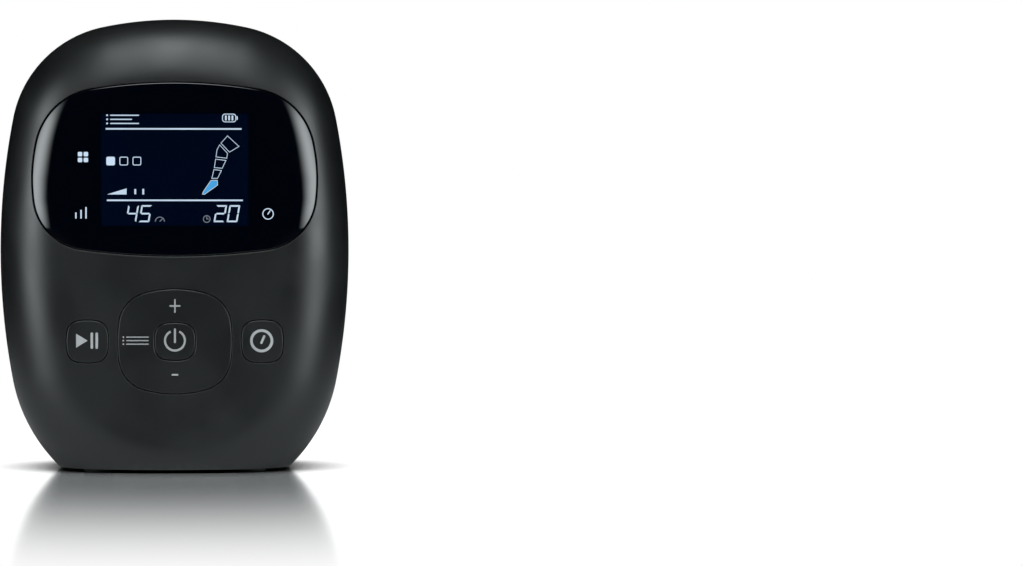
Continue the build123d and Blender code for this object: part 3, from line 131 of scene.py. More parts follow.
PICTURE = (1023, 566)  # the rendered picture's width and height, in pixels
PUMP_AT = (174.9, 243.3)  # where the pump's middle is in it
# painted contact shadow: the floor is darkened by ambient occlusion within this reach of the pump
PAINTED_SHADOW_REACH = 0.06  # the floor is darker where the pump is nearer than this, in metres
WHITE_FROM_TO = (0.1, 0.62)  # the floor turns white between these distances, in metres
TABLE_FROM_TO = (0.25, 0.5)  # the pump mirrors a floor that ends between these
# name, place, aim, width and height, and the share of it that fades towards its edges
LAMPS = [
    ("side", (-1.05, -0.59, 0.33), (0.0, 0.0, 0.12), (1.08, 1.5), 1.0),
    ("side", (1.05, -0.59, 0.33), (0.0, 0.0, 0.12), (1.08, 1.5), 1.0),
    ("top", (0.0, -0.62, 1.42), (0.0, 0.0, 0.09), (0.8, 2.3), 0.9),
    ("brow", (0.0, -1.34, 0.97), (0.0, 0.0, 0.09), (0.46, 0.9), 0.8),
]
CREASE = radians(35)  # a soft copy's edges that turn further than this stay sharp
DUST = [0.2, 0.19, 0.18]  # colour of settled dust
LAMP_TINT = (0.93, 1.0, 1.02)  # colour of the lamps, a little cool
RIM_COLUMNS = 421  # points along each row of an edge or side wall

Oval = namedtuple("Oval", "half_width top bottom waist r_crown r_flank r_keel r_shoulder r_hip")


def key_oval(half_width, half_height, r_flank, r_crown, r_corner):
    """An oval that is alike top and bottom, about its own middle."""
    return Oval(half_width, half_height, -half_height, 0, r_crown, r_flank, r_crown, r_corner, r_corner)


HOUSING = Oval(
    half_width=75.1, top=194.2, bottom=-18.3, waist=95.1,
    r_crown=149.1, r_flank=297.6, r_keel=117.2, r_shoulder=49.7, r_hip=70.1,
)
WINDOW = Oval(
    half_width=60.9, top=165.9, bottom=91.6, waist=124.9,
    r_crown=217.7, r_flank=74.2, r_keel=300.7, r_shoulder=28.8, r_hip=24.3,
)
SIDE_KEY = key_oval(8.85, 9.0, 24.0, 24.0, 5.0)
POWER_KEY = key_oval(8.6, 7.95, 20.0, 22.0, 5.0)
PAD = key_oval(24.25, 22.3, 62.0, 48.0, 14.5)

# ---------------------------------------------------------------- outlines

Outline = namedtuple("Outline", "points normals")


def meeting(a, reach_a, b, reach_b, lean):
    """The point that is reach_a from a and reach_b from b: along the line between them, then square to it."""
    across = b - a
    apart = np.hypot(*across)
    along = (reach_a**2 - reach_b**2 + apart**2) / (2 * apart)
    square = np.array([-across[1], across[0]]) / apart * sqrt(reach_a**2 - along**2)
    foot = a + across * along / apart
    return max((foot + square, foot - square), key=lambda point: float(point @ lean))


def oval_arcs(oval):
    """Centres, radii, first angles and turns of the arcs from the crown down the right side to the keel."""
    crown = np.array([0, oval.top - oval.r_crown])
    flank = np.array([oval.half_width - oval.r_flank, oval.waist])
    keel = np.array([0, oval.bottom + oval.r_keel])
    r_shoulder, r_hip = oval.r_shoulder, oval.r_hip
    up_right, down_right = np.array([1, 1]), np.array([1, -1])
    shoulder = meeting(crown, oval.r_crown - r_shoulder, flank, oval.r_flank - r_shoulder, up_right)
    hip = meeting(keel, oval.r_keel - r_hip, flank, oval.r_flank - r_hip, down_right)
    ways = [shoulder - crown, shoulder - flank, hip - flank, hip - keel]
    angles = np.radians([90.0] + [np.degrees(np.arctan2(way[1], way[0])) for way in ways] + [-90.0])
    radii = np.array([oval.r_crown, r_shoulder, oval.r_flank, r_hip, oval.r_keel])
    return np.array([crown, shoulder, flank, hip, keel]), radii, angles[:-1], np.diff(angles)


def trace(oval, share):
    """Points and outward normals of the oval: share 0 is the crown, 1 and -1 the keel, by right and by left.

    A point is its arc's centre + radius (cos a, sin a), where a runs evenly along the arc.
    """
    centres, radii, starts, turns = oval_arcs(oval)
    lengths = radii * abs(turns)
    ends = np.cumsum(lengths)
    at = abs(share) * ends[-1]
    arc = np.minimum(np.searchsorted(ends, at), len(radii) - 1)
    angle = starts[arc] + turns[arc] * (at - ends[arc] + lengths[arc]) / lengths[arc]
    normals = np.stack([np.cos(angle), np.sin(angle)], -1)
    points = centres[arc] + radii[arc][..., None] * normals
    side = np.stack([np.where(share < 0, -1.0, 1.0), np.ones_like(angle)], -1)
    return points * side, normals * side


def oval_outline(oval, u=0.0, v=0.0, step=EDGE_STEP):
    """The whole oval about (u, v) as an evenly spaced closed outline."""
    centres, radii, starts, turns = oval_arcs(oval)
    count = int(2 * (radii * abs(turns)).sum() / step)
    points, normals = trace(oval, np.linspace(-1, 1, count, endpoint=False))
    return Outline(points + [u, v], normals)


def divided(outline, step):
    """The closed outline with more points along its long edges, spaced evenly in length."""
    points = np.vstack([outline.points, outline.points[:1]])
    normals = np.vstack([outline.normals, outline.normals[:1]])
    run = np.concatenate([[0], np.cumsum(np.hypot(*np.diff(points, axis=0).T))])
    spans = [(a, b) for a, b in zip(run, run[1:]) if b - a > 1e-6]
    extra = [np.linspace(a, b, max(int((b - a) / step), 1), endpoint=False) for a, b in spans]
    at = np.concatenate(extra)

    def between(values):
        return np.stack([np.interp(at, run, column) for column in values.T], -1)

    leans = between(normals)
    return Outline(between(points), leans / np.hypot(*leans.T)[:, None])


def rounded(u, v, width, height, corner, step=EDGE_STEP, turns=6):
    """A rectangle about (u, v): round corners, centre + radius (cos a, sin a), joined by straight edges."""
    angle = np.linspace(0, np.pi / 2, turns + 1)[None] + np.arange(4)[:, None] * np.pi / 2
    normals = np.stack([np.cos(angle), np.sin(angle)], -1)
    signs = np.array([[1, 1], [-1, 1], [-1, -1], [1, -1]])
    centres = signs * [width / 2 - corner, height / 2 - corner] + [u, v]
    points = centres[:, None] + corner * normals
    return divided(Outline(points.reshape(-1, 2), normals.reshape(-1, 2)), step)


def circle(u, v, radius, count=40):
    """A circle about (u, v): centre + radius (cos a, sin a)."""
    angle = np.linspace(0, 2 * np.pi, count, endpoint=False)
    normals = np.stack([np.cos(angle), np.sin(angle)], -1)
    return Outline(np.array([u, v]) + radius * normals, normals)


def widened(outline, by):
    """The outline's points moved outwards along their normals."""
    return outline.points + by * outline.normals


# ---------------------------------------------------------------- nets, bands and meshes


def inside(points, loop):
    """Whether each point is inside the loop: a level ray from it crosses the loop an odd number of times."""
    x, y = points[:, :1], points[:, 1:]
    ax, ay = loop.T
    bx, by = np.roll(loop, -1, 0).T
    crosses = (ay > y) != (by > y)
    rise = np.where(by == ay, 1.0, by - ay)
    return (crosses & (x < ax + (y - ay) * (bx - ax) / rise)).sum(1) % 2 == 1


def net(loops, spacing=NET):
    """Points and triangles that fill the first loop except for the others.

    They are the Delaunay net of the loops' points and of a staggered grid that keeps clear of the loops.
    """
    low, high = loops[0].min(0), loops[0].max(0)
    rim = np.vstack(loops)
    across, rise = np.meshgrid(
        np.arange(low[0], high[0], spacing), np.arange(low[1], high[1], spacing * sqrt(0.75))
    )
    across[1::2] += spacing / 2
    grid = np.stack([across.ravel(), rise.ravel()], -1)
    keep = inside(grid, loops[0])
    for loop in loops[1:]:
        keep &= ~inside(grid, loop)
    grid = grid[keep]
    if len(grid):
        apart = np.hypot(grid[:, :1] - rim[:, 0], grid[:, 1:] - rim[:, 1]).min(1)
        grid = grid[apart > 0.6 * spacing]
    points = np.vstack([rim, grid])
    edges, start = [], 0
    for loop in loops:
        index = np.arange(len(loop))
        edges.append(np.stack([index, np.roll(index, -1)], -1) + start)
        start += len(loop)
    found = delaunay_2d_cdt([Vector(p) for p in points], np.vstack(edges).tolist(), [], 0, 1e-6)
    own = np.array([ids[0] for ids in found[3]])
    triangles = own[np.array(found[2])]
    middle = points[triangles].mean(1)
    kept = inside(middle, loops[0])
    for loop in loops[1:]:
        kept &= ~inside(middle, loop)
    return points, triangles[kept]


def grid_faces(rows, columns, closed=False):
    """The four corners of each cell of a grid, whose last column may join its first."""
    index = np.arange(rows * columns).reshape(rows, columns)
    after = np.roll(index, -1, 1) if closed else index[:, 1:]
    here = index if closed else index[:, :-1]
    return np.stack([here[:-1], after[:-1], after[1:], here[1:]], -1).reshape(-1, 4)


def grid_part(points, normals, closed=False):
    """A mesh part from a grid of points and the normals there."""
    rows, columns = points.shape[:2]
    return points.reshape(-1, 3), normals.reshape(-1, 3), grid_faces(rows, columns, closed)


def outward(points, normals, faces):
    """The faces, turned round where their corners run against the normals."""
    corners = points[faces]
    facing = np.cross(corners[:, 2] - corners[:, 0], corners[:, -1] - corners[:, 1])
    against = (facing * normals[faces].mean(1)).sum(1) < 0
    faces = faces.copy()
    faces[against] = faces[against][:, ::-1]
    return faces


def make_piece(name, parts, material, body, replaced=()):
    """A smooth mesh object from parts of (points, normals, faces) in millimetres, welded where they meet."""
    places, corner_normals, faces, start = [], [], [], 0
    for points, normals, part_faces in parts:
        part_faces = outward(points, normals, part_faces)
        places.append(points)
        corner_normals.append(normals[part_faces].reshape(-1, 3))
        faces += (part_faces + start).tolist()
        start += len(points)
    mesh = bpy.data.meshes.new(name)
    mesh.from_pydata(np.vstack(places) * MM, [], faces)
    lean = mesh.attributes.new("lean", "FLOAT_VECTOR", "CORNER")
    lean.data.foreach_set("vector", np.vstack(corner_normals).astype(np.float32).ravel())
    welded = bmesh.new()
    welded.from_mesh(mesh)
    bmesh.ops.remove_doubles(welded, verts=welded.verts, dist=WELD)
    bmesh.ops.dissolve_degenerate(welded, edges=welded.edges, dist=SLIVER)
    welded.to_mesh(mesh)
    welded.free()
    mesh.shade_smooth()
    kept = np.zeros(len(mesh.loops) * 3, np.float32)
    mesh.attributes["lean"].data.foreach_get("vector", kept)
    mesh.normals_split_custom_set(kept.reshape(-1, 3).tolist())
    mesh.attributes.remove(mesh.attributes["lean"])
    mesh.materials.append(material)
    piece = bpy.data.objects.new(name, mesh)
    bpy.context.scene.collection.objects.link(piece)
    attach(piece, body)
    if replaced:
        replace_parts(piece, *replaced)
    return piece


class Skin:
    """The front or the back of the housing with the rounded edge that leads to the side walls.

    A ball of the edge's radius R rolls along the spine and touches both face and side wall. A point of the
    surface `inset` below the skin, q outside the spine, is R - sqrt((R - inset)^2 - q^2) below the face.
    """

    def __init__(self, origin, up, out, radius):
        self.origin, self.up, self.out, self.radius = map(np.array, (origin, up, out, radius))
        self.across = np.array([1.0, 0, 0])
        self.spine, self.lean = self.plan(np.linspace(-1, 1, 1440, endpoint=False))
        self.along = np.stack([-self.lean[:, 1], self.lean[:, 0]], -1)
        step = np.hypot(*(np.roll(self.spine, -1, 0) - np.roll(self.spine, 1, 0)).T)
        turn = np.hypot(*(np.roll(self.lean, -1, 0) - np.roll(self.lean, 1, 0)).T)
        self.bend = step / turn

    def plan(self, share):
        """The spine and its normals, in the face's own (u, v), at shares of the housing's outline."""
        rim, normals = trace(HOUSING, share)
        middle = rim - self.radius * normals
        rise = (middle[..., 1] - self.origin[2] + self.radius * self.out[2]) / self.up[2]
        lean = normals * [1.0, self.up[2]]
        lean = lean / np.hypot(lean[..., 0], lean[..., 1])[..., None]
        return np.stack([middle[..., 0], rise], -1), lean

    def place(self, uv, depth):
        """Points in space from places on the face and depths below it."""
        depth = np.asarray(depth)[..., None]
        return self.origin + uv[..., :1] * self.across + uv[..., 1:] * self.up - depth * self.out

    def uv(self, points):
        """Places on the face under points in space."""
        away = points - self.origin
        return np.stack([away @ self.across, away @ self.up], -1)

    def at(self, uv, inset=0.0, drop=0.0):
        """Points `inset` below the skin and `drop` deeper, with the skin's normals there."""
        past = uv @ self.lean.T - (self.spine * self.lean).sum(1)
        near = past.argmax(1)
        off = uv - self.spine[near]
        out = (off * self.lean[near]).sum(1) + self.bend[near]
        side = (off * self.along[near]).sum(1)
        swing = np.arctan2(side, out)[:, None]
        lean = self.lean[near] * np.cos(swing) + self.along[near] * np.sin(swing)
        q = np.where(past.max(1) > 0, np.hypot(out, side) - self.bend[near], 0.0)
        radius = self.radius - inset
        tilt = np.minimum(q / radius, 1.0)[:, None]
        depth = self.radius - radius * np.sqrt(1 - tilt[:, 0] ** 2)
        sideways = lean[:, :1] * self.across + lean[:, 1:] * self.up
        return self.place(uv, depth + drop), self.out * np.sqrt(1 - tilt**2) + sideways * tilt

    def edge(self, share, weight, first_tilt, inset=0.0):
        """The rounded edge, spine + R (out cos t + lean sin t), from t = first_tilt to the side wall's."""
        share, weight = np.broadcast_arrays(share, weight)
        spine, lean = self.plan(share)
        wall = trace(HOUSING, share)[1]
        last = np.arccos(wall[..., 1] * self.out[2])
        tilt = (first_tilt + weight * (last - first_tilt))[..., None]
        sideways = lean[..., :1] * self.across + lean[..., 1:] * self.up
        normals = self.out * np.cos(tilt) + sideways * np.sin(tilt)
        return self.place(spine, np.full(share.shape, self.radius)) + (self.radius - inset) * normals, normals

    def wall(self, share, weight, end_y, inset=0.0):
        """The side wall, straight from the rounded edge to y = end_y."""
        share, weight = np.broadcast_arrays(share, weight)
        rim, normals = trace(HOUSING, share)
        rim = rim - inset * normals
        start_y = self.edge(share, np.ones_like(share), 0.0)[0][..., 1]
        y = start_y + weight * (end_y - start_y)
        return (
            np.stack([rim[..., 0], y, rim[..., 1]], -1),
            np.stack([normals[..., 0], 0 * y, normals[..., 1]], -1),
        )


class WindowSkin(Skin):
    """The front, with corners that turn in towards the window's rim.

    Inside the rim by s < w the surface is k (w - s)^2 / 2w deeper, times how slanted the rim's normal is.
    """

    def at(self, uv, inset=0.0, drop=0.0):
        points, normals = super().at(uv, inset, drop)
        rim = oval_outline(WINDOW)
        near = np.hypot(*(uv[:, None] - rim.points).transpose(2, 0, 1)).argmin(1)
        lean = rim.normals[near]
        inwards = np.maximum(((rim.points[near] - uv) * lean).sum(1), 0.0)
        slanted = 2 * abs(lean[:, 0] * lean[:, 1]) * np.where(lean[:, 1] > 0, WINDOW_TOP_SHARE, 1.0)
        left = np.maximum(WINDOW_END_WIDTH - inwards, 0.0)
        deeper = (WINDOW_END_SLOPE * slanted * left**2 / (2 * WINDOW_END_WIDTH))[:, None]
        slope = (WINDOW_END_SLOPE * slanted * left / WINDOW_END_WIDTH)[:, None]
        normals = normals + slope * (lean[:, :1] * self.across + lean[:, 1:] * self.up)
        return points - deeper * self.out, normals / np.linalg.norm(normals, axis=1)[:, None]


FRONT = Skin((0.0, FRONT_Y, BASE), (0.0, sin(LEAN), cos(LEAN)), (0.0, -cos(LEAN), sin(LEAN)), FRONT_RADIUS)
WINDOW_SKIN = WindowSkin(FRONT.origin, FRONT.up, FRONT.out, FRONT_RADIUS)
BACK = Skin((0.0, BACK_Y, 0.0), (0.0, 0.0, 1.0), (0.0, 1.0, 0.0), BACK_RADIUS)


def trimmed(surface, weights, height):
    """The grid surface(share, weight), each of whose rows ends where it comes down to the height."""
    shares = np.linspace(0, 1, 801)
    heights = surface(shares[None], weights[:, None])[0][..., 2]
    ends = np.array([np.interp(-height, -row, shares) for row in heights])
    return surface(ends[:, None] * np.linspace(-1, 1, RIM_COLUMNS), weights[:, None])


def parting_round(end_y, forwards):
    """A quarter round where the two shells meet.

    It moves in along the outline's normal by r (1 - cos a) and on along Y by r sin a.
    """

    def surface(share, weight):
        share, weight = np.broadcast_arrays(share, weight)
        turn = weight * np.pi / 2
        rim, normals = trace(HOUSING, share)
        rim = rim - PARTING_ROUND * (1 - np.cos(turn))[..., None] * normals
        y = end_y + forwards * PARTING_ROUND * (np.sin(turn) - 1)
        lean = normals * np.cos(turn)[..., None]
        return (
            np.stack([rim[..., 0], y, rim[..., 1]], -1),
            np.stack([lean[..., 0], forwards * np.sin(turn), lean[..., 1]], -1),
        )

    return trimmed(surface, np.linspace(0, 1, 5), BASE)


def band(skin, outline, rows):
    """A rim that follows an outline on the skin: rows of (outwards, inset, drop, tilt of the normal)."""
    grids = []
    for outwards, inset, drop, tilt in rows:
        uv = widened(outline, outwards)
        points, out = skin.at(uv, inset, drop)
        side = outline.normals[:, :1] * skin.across + outline.normals[:, 1:] * skin.up
        grids.append((points, out * cos(tilt) + side * sin(tilt)))
    points, normals = (np.stack(columns) for columns in zip(*grids))
    return grid_part(points, normals, closed=True)


def quarter(radius, inset, hole, steps=5):
    """Rows of a quarter round between the skin and a wall that is square to the face.

    At the angle a it is r (1 - sin a) from the wall and r (1 - cos a) below the skin.
    """
    sign = -1 if hole else 1
    angles = np.linspace(0, np.pi / 2, steps)
    return [(-sign * radius * (1 - sin(a)), inset + radius * (1 - cos(a)), 0.0, sign * a) for a in angles]


def hole_rim(skin, outline, radius, depth):
    """The rounded rim and straight wall of a hole."""
    rows = quarter(radius, 0.0, hole=True)
    return band(skin, outline, rows + [(0.0, radius, 0.0, -np.pi / 2), (0.0, depth, 0.0, -np.pi / 2)])


def skin_net(skin, loops, inset=0.0, drop=0.0, back=False, spacing=NET):
    """The skin inside the first loop and outside the others."""
    uv, triangles = net(loops, spacing)
    points, normals = skin.at(uv, inset, drop)
    return points, -normals if back else normals, triangles


def slab(skin, outline, inset, radius, thick, holes=(), spacing=NET):
    """A closed plate that follows the skin, with rounded front edges and with holes."""
    loops = [widened(outline, -radius)] + [widened(hole, radius) for hole in holes]
    rims = [outline.points] + [hole.points for hole in holes]
    parts = [skin_net(skin, loops, inset, spacing=spacing)]
    parts.append(skin_net(skin, rims, inset + radius, thick - radius, back=True, spacing=spacing))
    bottom = (0.0, inset + radius, thick - radius)
    parts.append(band(skin, outline, quarter(radius, inset, hole=False) + [(*bottom, np.pi / 2)]))
    for hole in holes:
        rows = quarter(radius, inset, hole=True) + [(*bottom, -np.pi / 2)]
        parts.append(band(skin, hole, rows))
    return parts


def turned(stretches, centre, axis, count=48):
    """A surface of revolution: centre + along axis + radius (cos a, sin a), for each (radius, along)."""
    axis = np.array(axis, float)
    first = np.array([1.0, 0, 0])
    second = np.cross(axis, first)
    angle = np.linspace(0, 2 * np.pi, count, endpoint=False)
    round_about = np.cos(angle)[:, None] * first + np.sin(angle)[:, None] * second
    parts = []
    for stretch in stretches:
        stretch = np.array(stretch, float)
        heading = np.gradient(stretch, axis=0)
        heading /= np.maximum(np.hypot(*heading.T), 1e-9)[:, None]
        radius, along = stretch[:, 0, None, None], stretch[:, 1, None, None]
        points = np.array(centre) + along * axis + radius * round_about
        normals = heading[:, 1, None, None] * round_about - heading[:, 0, None, None] * axis
        parts.append(grid_part(points, normals, closed=True))
    return parts


def arc(centre, radius, start, end, steps=6):
    """A stretch of a profile: centre + radius (cos a, sin a), between two angles in degrees."""
    angle = np.radians(np.linspace(start, end, steps))
    return np.array(centre) + radius * np.stack([np.cos(angle), np.sin(angle)], -1)


# ---------------------------------------------------------------- shells


def low_edge(skin, corner, inset, height):
    """Places on the face, from right to left, where the surface `inset` below the skin is at a height."""
    u = np.linspace(corner[-1, 0], corner[0, 0], 60)[1:-1]
    v = np.full_like(u, (height - skin.origin[2]) / skin.up[2])
    for _ in range(8):
        v = v - (skin.at(np.stack([u, v], -1), inset)[0][:, 2] - height) / skin.up[2]
    return np.stack([u, v], -1)


def level_plate(grids, front_edge, height, way):
    """A level plate between the ends of the side grids and the edge of the front or back."""
    right, left = (np.vstack([grid[:, side] for grid in grids]) for side in (-1, 0))
    rim = np.vstack([right, left[::-1], front_edge])[:, :2]
    keep = np.hypot(*(rim - np.roll(rim, 1, 0)).T) > 1e-4
    xy, triangles = net([rim[keep]], 5.0)
    points = np.column_stack([xy, np.full(len(xy), height)])
    return points, np.tile([0.0, 0.0, way], (len(points), 1)), triangles


def half_skin(skin, first_tilt, end_y, inset, holes, last_grids, spacing):
    """The outside of half a housing, or the inside where it is inset.

    It is a face, a rounded edge, a side wall and the level plate that it stands on.
    """
    height = BASE + inset
    way = -1.0 if inset else 1.0
    # the inside's smaller round starts where the outside's does, or almost at its own end
    first_tilt = asin(min(sin(first_tilt) * skin.radius / (skin.radius - inset), 0.999))
    edge_rows, wall_rows = np.linspace(0, 1, 22), np.linspace(0, 1, 5)
    edge = trimmed(lambda share, weight: skin.edge(share, weight, first_tilt, inset), edge_rows, height)
    wall = trimmed(lambda share, weight: skin.wall(share, weight, end_y, inset), wall_rows, height)
    corner = skin.uv(edge[0][0])
    low = low_edge(skin, corner, inset, height)
    uv, triangles = net([np.vstack([corner, low])] + holes, spacing)
    points, normals = skin.at(uv, inset)
    parts = [(points, way * normals, triangles)]
    parts += [grid_part(grid[0], way * grid[1]) for grid in (edge, wall)]
    grids = [edge[0], wall[0]] + last_grids
    parts.append(level_plate(grids, skin.at(low, inset)[0][::-1], height, -way))
    return parts, wall[0][-1]


def shell(skin, first_tilt, end_y, forwards, holes, round_edge, spacing):
    """One half of the housing as a closed wall: outside, inside, the rim between, and its holes' rims."""
    turn = parting_round(end_y, forwards)
    wide = [widened(hole, round_edge) for hole in holes]
    wall_end = end_y - forwards * PARTING_ROUND
    parts = half_skin(skin, first_tilt, wall_end, 0.0, wide, [turn[0]], spacing)[0]
    bare = [hole.points for hole in holes]
    inside_parts, inner_rim = half_skin(skin, first_tilt, end_y, WALL, bare, [], 2 * spacing)
    parts += inside_parts + [grid_part(*turn)]
    outer_rim = turn[0][-1]
    xz, triangles = net([outer_rim[:, [0, 2]], inner_rim[:, [0, 2]]], 2.0)
    points = np.column_stack([xz[:, 0], np.full(len(xz), end_y), xz[:, 1]])
    parts.append((points, np.tile([0.0, forwards, 0.0], (len(points), 1)), triangles))
    return parts + [hole_rim(skin, hole, round_edge, WALL) for hole in holes]


def front_shell(material, round_edge):
    """The front cover with its window opening and key holes."""
    window = oval_outline(WINDOW)
    holes = [Outline(widened(window, WINDOW_GAP), window.normals)]
    for oval, u in ((PAD, 0.0), (SIDE_KEY, -SIDE_KEY_U), (SIDE_KEY, SIDE_KEY_U)):
        key = oval_outline(oval, u, KEY_V, PAD_STEP)
        holes.append(Outline(widened(key, KEY_GAP), key.normals))
    parts = shell(FRONT, EDGE_TILT, PARTING_Y, 1, holes, round_edge, NET)
    return make_piece("front_shell", parts, material, "housing", ["front_cover"])


def screw_post(x, z):
    """A case screw's post: a thin tube from inside the back wall, with a floor for the head."""
    well, post = (circle(x, z, radius, SCREW_SIDES) for radius in (WELL_RADIUS, POST_RADIUS))
    top_in, top_out = (BACK.at(outline.points, WALL / 2)[0] for outline in (well, post))
    radial = np.column_stack([well.normals[:, 0], np.zeros(SCREW_SIDES), well.normals[:, 1]])

    def level(radius, y):
        return np.array([x, y, z]) + radial * radius

    along = np.tile([0.0, 1.0, 0.0], (SCREW_SIDES, 1))
    rings = [
        (top_out, top_in, along),
        (top_in, level(WELL_RADIUS, WELL_END_Y), -radial),
        (level(WELL_RADIUS, WELL_END_Y), level(SCREW_PLAY_RADIUS, WELL_END_Y), along),
        (level(SCREW_PLAY_RADIUS, WELL_END_Y), level(SCREW_PLAY_RADIUS, POST_END_Y), -radial),
        (level(SCREW_PLAY_RADIUS, POST_END_Y), level(POST_RADIUS, POST_END_Y), -along),
        (level(POST_RADIUS, POST_END_Y), top_out, radial),
    ]
    return [grid_part(np.stack([a, b]), np.stack([way, way]), closed=True) for a, b, way in rings]


def rear_shell(material, round_edge):
    """The rear cover with its vents, screw wells and openings for the outlets and the power jack."""
    holes = [rounded(0, OUTLET_Z, SOCKET_WIDTH, SOCKET_HEIGHT, SOCKET_CORNER)]
    holes.append(circle(JACK_X, JACK_Z, JACK_RADIUS + JACK_PLAY))
    for row in range(VENT_COUNT):
        z = VENT_Z + VENT_PITCH * (row - (VENT_COUNT - 1) / 2)
        holes.append(rounded(0, z, VENT_WIDTH, VENT_HEIGHT, VENT_HEIGHT / 2))
    holes += [circle(x, z, WELL_RADIUS, SCREW_SIDES) for x, z in CASE_POSTS]
    parts = shell(BACK, BACK_TILT, PARTING_Y, -1, holes, round_edge, BACK_NET)
    for x, z in CASE_POSTS:
        parts += screw_post(x, z)
    return make_piece("rear_shell", parts, material, "housing", ["rear_cover"])


def lens(material, round_edge):
    """The display window, wrapped over the front and its rounded edge."""
    outline = oval_outline(WINDOW)
    parts = slab(WINDOW_SKIN, outline, WINDOW_INSET, round_edge, WINDOW_THICK, spacing=WINDOW_NET)
    return make_piece("lens", parts, material, "housing", ["window"])


def keys(material, round_edge):
    """The four keys, each a cap that stands a little proud of the shell."""
    power = oval_outline(POWER_KEY, 0.0, KEY_V, KEY_STEP)
    hole = Outline(widened(power, KEY_GAP), power.normals)
    rim = oval_outline(PAD, 0.0, KEY_V, PAD_STEP)
    pad = slab(FRONT, rim, -KEY_PROUD, round_edge, KEY_THICK, [hole])
    make_piece("rocking_pad", pad, material, "pad", ["four_way_pad"])
    for name, oval, u, body in (
        ("power", POWER_KEY, 0.0, "power"),
        ("play_pause", SIDE_KEY, -SIDE_KEY_U, "play_pause"),
        ("timer", SIDE_KEY, SIDE_KEY_U, "timer"),
    ):
        cap = slab(FRONT, oval_outline(oval, u, KEY_V, KEY_STEP), -KEY_PROUD, round_edge, KEY_THICK)
        make_piece(f"{name}_key", cap, material, body, [f"{name}_button"])


def feet(material, round_edge):
    """Four rubber feet, turned from a profile with a rounded sole."""
    top = BASE + FOOT_RECESS
    parts = []
    for x, y in FEET:
        profile = [
            [(0.0, 0.0), (FOOT_RADIUS - round_edge, 0.0)],
            arc((FOOT_RADIUS - round_edge, round_edge), round_edge, -90, 0),
            [(FOOT_RADIUS, round_edge), (FOOT_RADIUS, top)],
            [(FOOT_RADIUS, top), (0.0, top)],
        ]
        parts += turned(profile, (x, y, 0.0), (0, 0, 1))
    return make_piece("feet", parts, material, "housing", ["rubber_feet"])


def outlets(material, round_edge):
    """The outlet socket: a plate with four blind bores, each with a rounded mouth and a tube behind it."""
    play = SOCKET_PLAY
    plate = rounded(0, OUTLET_Z, SOCKET_WIDTH - 2 * play, SOCKET_HEIGHT - 2 * play, SOCKET_CORNER - play)
    bores = [circle(x, OUTLET_Z, OUTLET_RADIUS) for x in OUTLETS_X]
    tubes = [circle(x, OUTLET_Z, OUTLET_TUBE).points for x in OUTLETS_X]
    back = -SOCKET_THICK
    end = -OUTLET_DEPTH - OUTLET_FLOOR
    grooves = [circle(x, OUTLET_Z, GROOVE_OUTER).points for x in OUTLETS_X]
    drop = SOCKET_THICK - round_edge
    parts = [skin_net(BACK, [widened(plate, -round_edge)] + grooves, spacing=SOCKET_NET)]
    parts.append(skin_net(BACK, [plate.points] + tubes, round_edge, drop, True, SOCKET_NET))
    side = (0.0, round_edge, drop, np.pi / 2)
    parts.append(band(BACK, plate, quarter(round_edge, 0.0, hole=False) + [side]))
    for x, bore in zip(OUTLETS_X, bores):
        wall = (0.0, round_edge, OUTLET_DEPTH - round_edge, -np.pi / 2)
        parts.append(band(BACK, bore, quarter(round_edge, 0.0, hole=True) + [wall]))
        profile = [
            [(0.0, end), (OUTLET_TUBE, end)],
            [(OUTLET_TUBE, end), (OUTLET_TUBE, back)],
            [(OUTLET_RADIUS, -OUTLET_DEPTH), (0.0, -OUTLET_DEPTH)],
            [(GROOVE_OUTER, 0.0), (GROOVE_OUTER, -GROOVE_DEPTH)],
            [(GROOVE_OUTER, -GROOVE_DEPTH), (GROOVE_INNER, -GROOVE_DEPTH)],
            [(GROOVE_INNER, -GROOVE_DEPTH), (GROOVE_INNER, 0.0)],
            [(GROOVE_INNER, 0.0), (OUTLET_RADIUS + round_edge, 0.0)],
        ]
        parts += turned(profile, (x, BACK_Y, OUTLET_Z), (0, 1, 0), 40)
    return make_piece("outlet_plate", parts, material, "housing", ["outlet_socket"])


def jack(material, round_edge):
    """The power jack, turned from one profile: barrel, flange, rounded mouth and bore."""
    r, wide, bore = JACK_RADIUS, JACK_RADIUS + JACK_FLANGE, JACK_BORE
    profile = [
        [(0.0, -JACK_LENGTH), (r, -JACK_LENGTH)],
        [(r, -JACK_LENGTH), (r, JACK_FLANGE_BACK)],
        [(r, JACK_FLANGE_BACK), (wide, JACK_FLANGE_BACK)],
        [(wide, JACK_FLANGE_BACK), (wide, JACK_FLANGE_FRONT)],
        [(wide, JACK_FLANGE_FRONT), (r, JACK_FLANGE_FRONT)],
        [(r, JACK_FLANGE_FRONT), (r, -round_edge)],
        arc((r - round_edge, -round_edge), round_edge, 0, 90),
        [(r - round_edge, 0.0), (bore + round_edge, 0.0)],
        arc((bore + round_edge, -round_edge), round_edge, 90, 180),
        [(bore, -round_edge), (bore, -JACK_DEPTH)],
        [(bore, -JACK_DEPTH), (0.0, -JACK_DEPTH)],
    ]
    parts = turned(profile, (JACK_X, BACK_Y, JACK_Z), (0, 1, 0))
    return make_piece("power_jack", parts, material, "housing", ["dc_jack"])


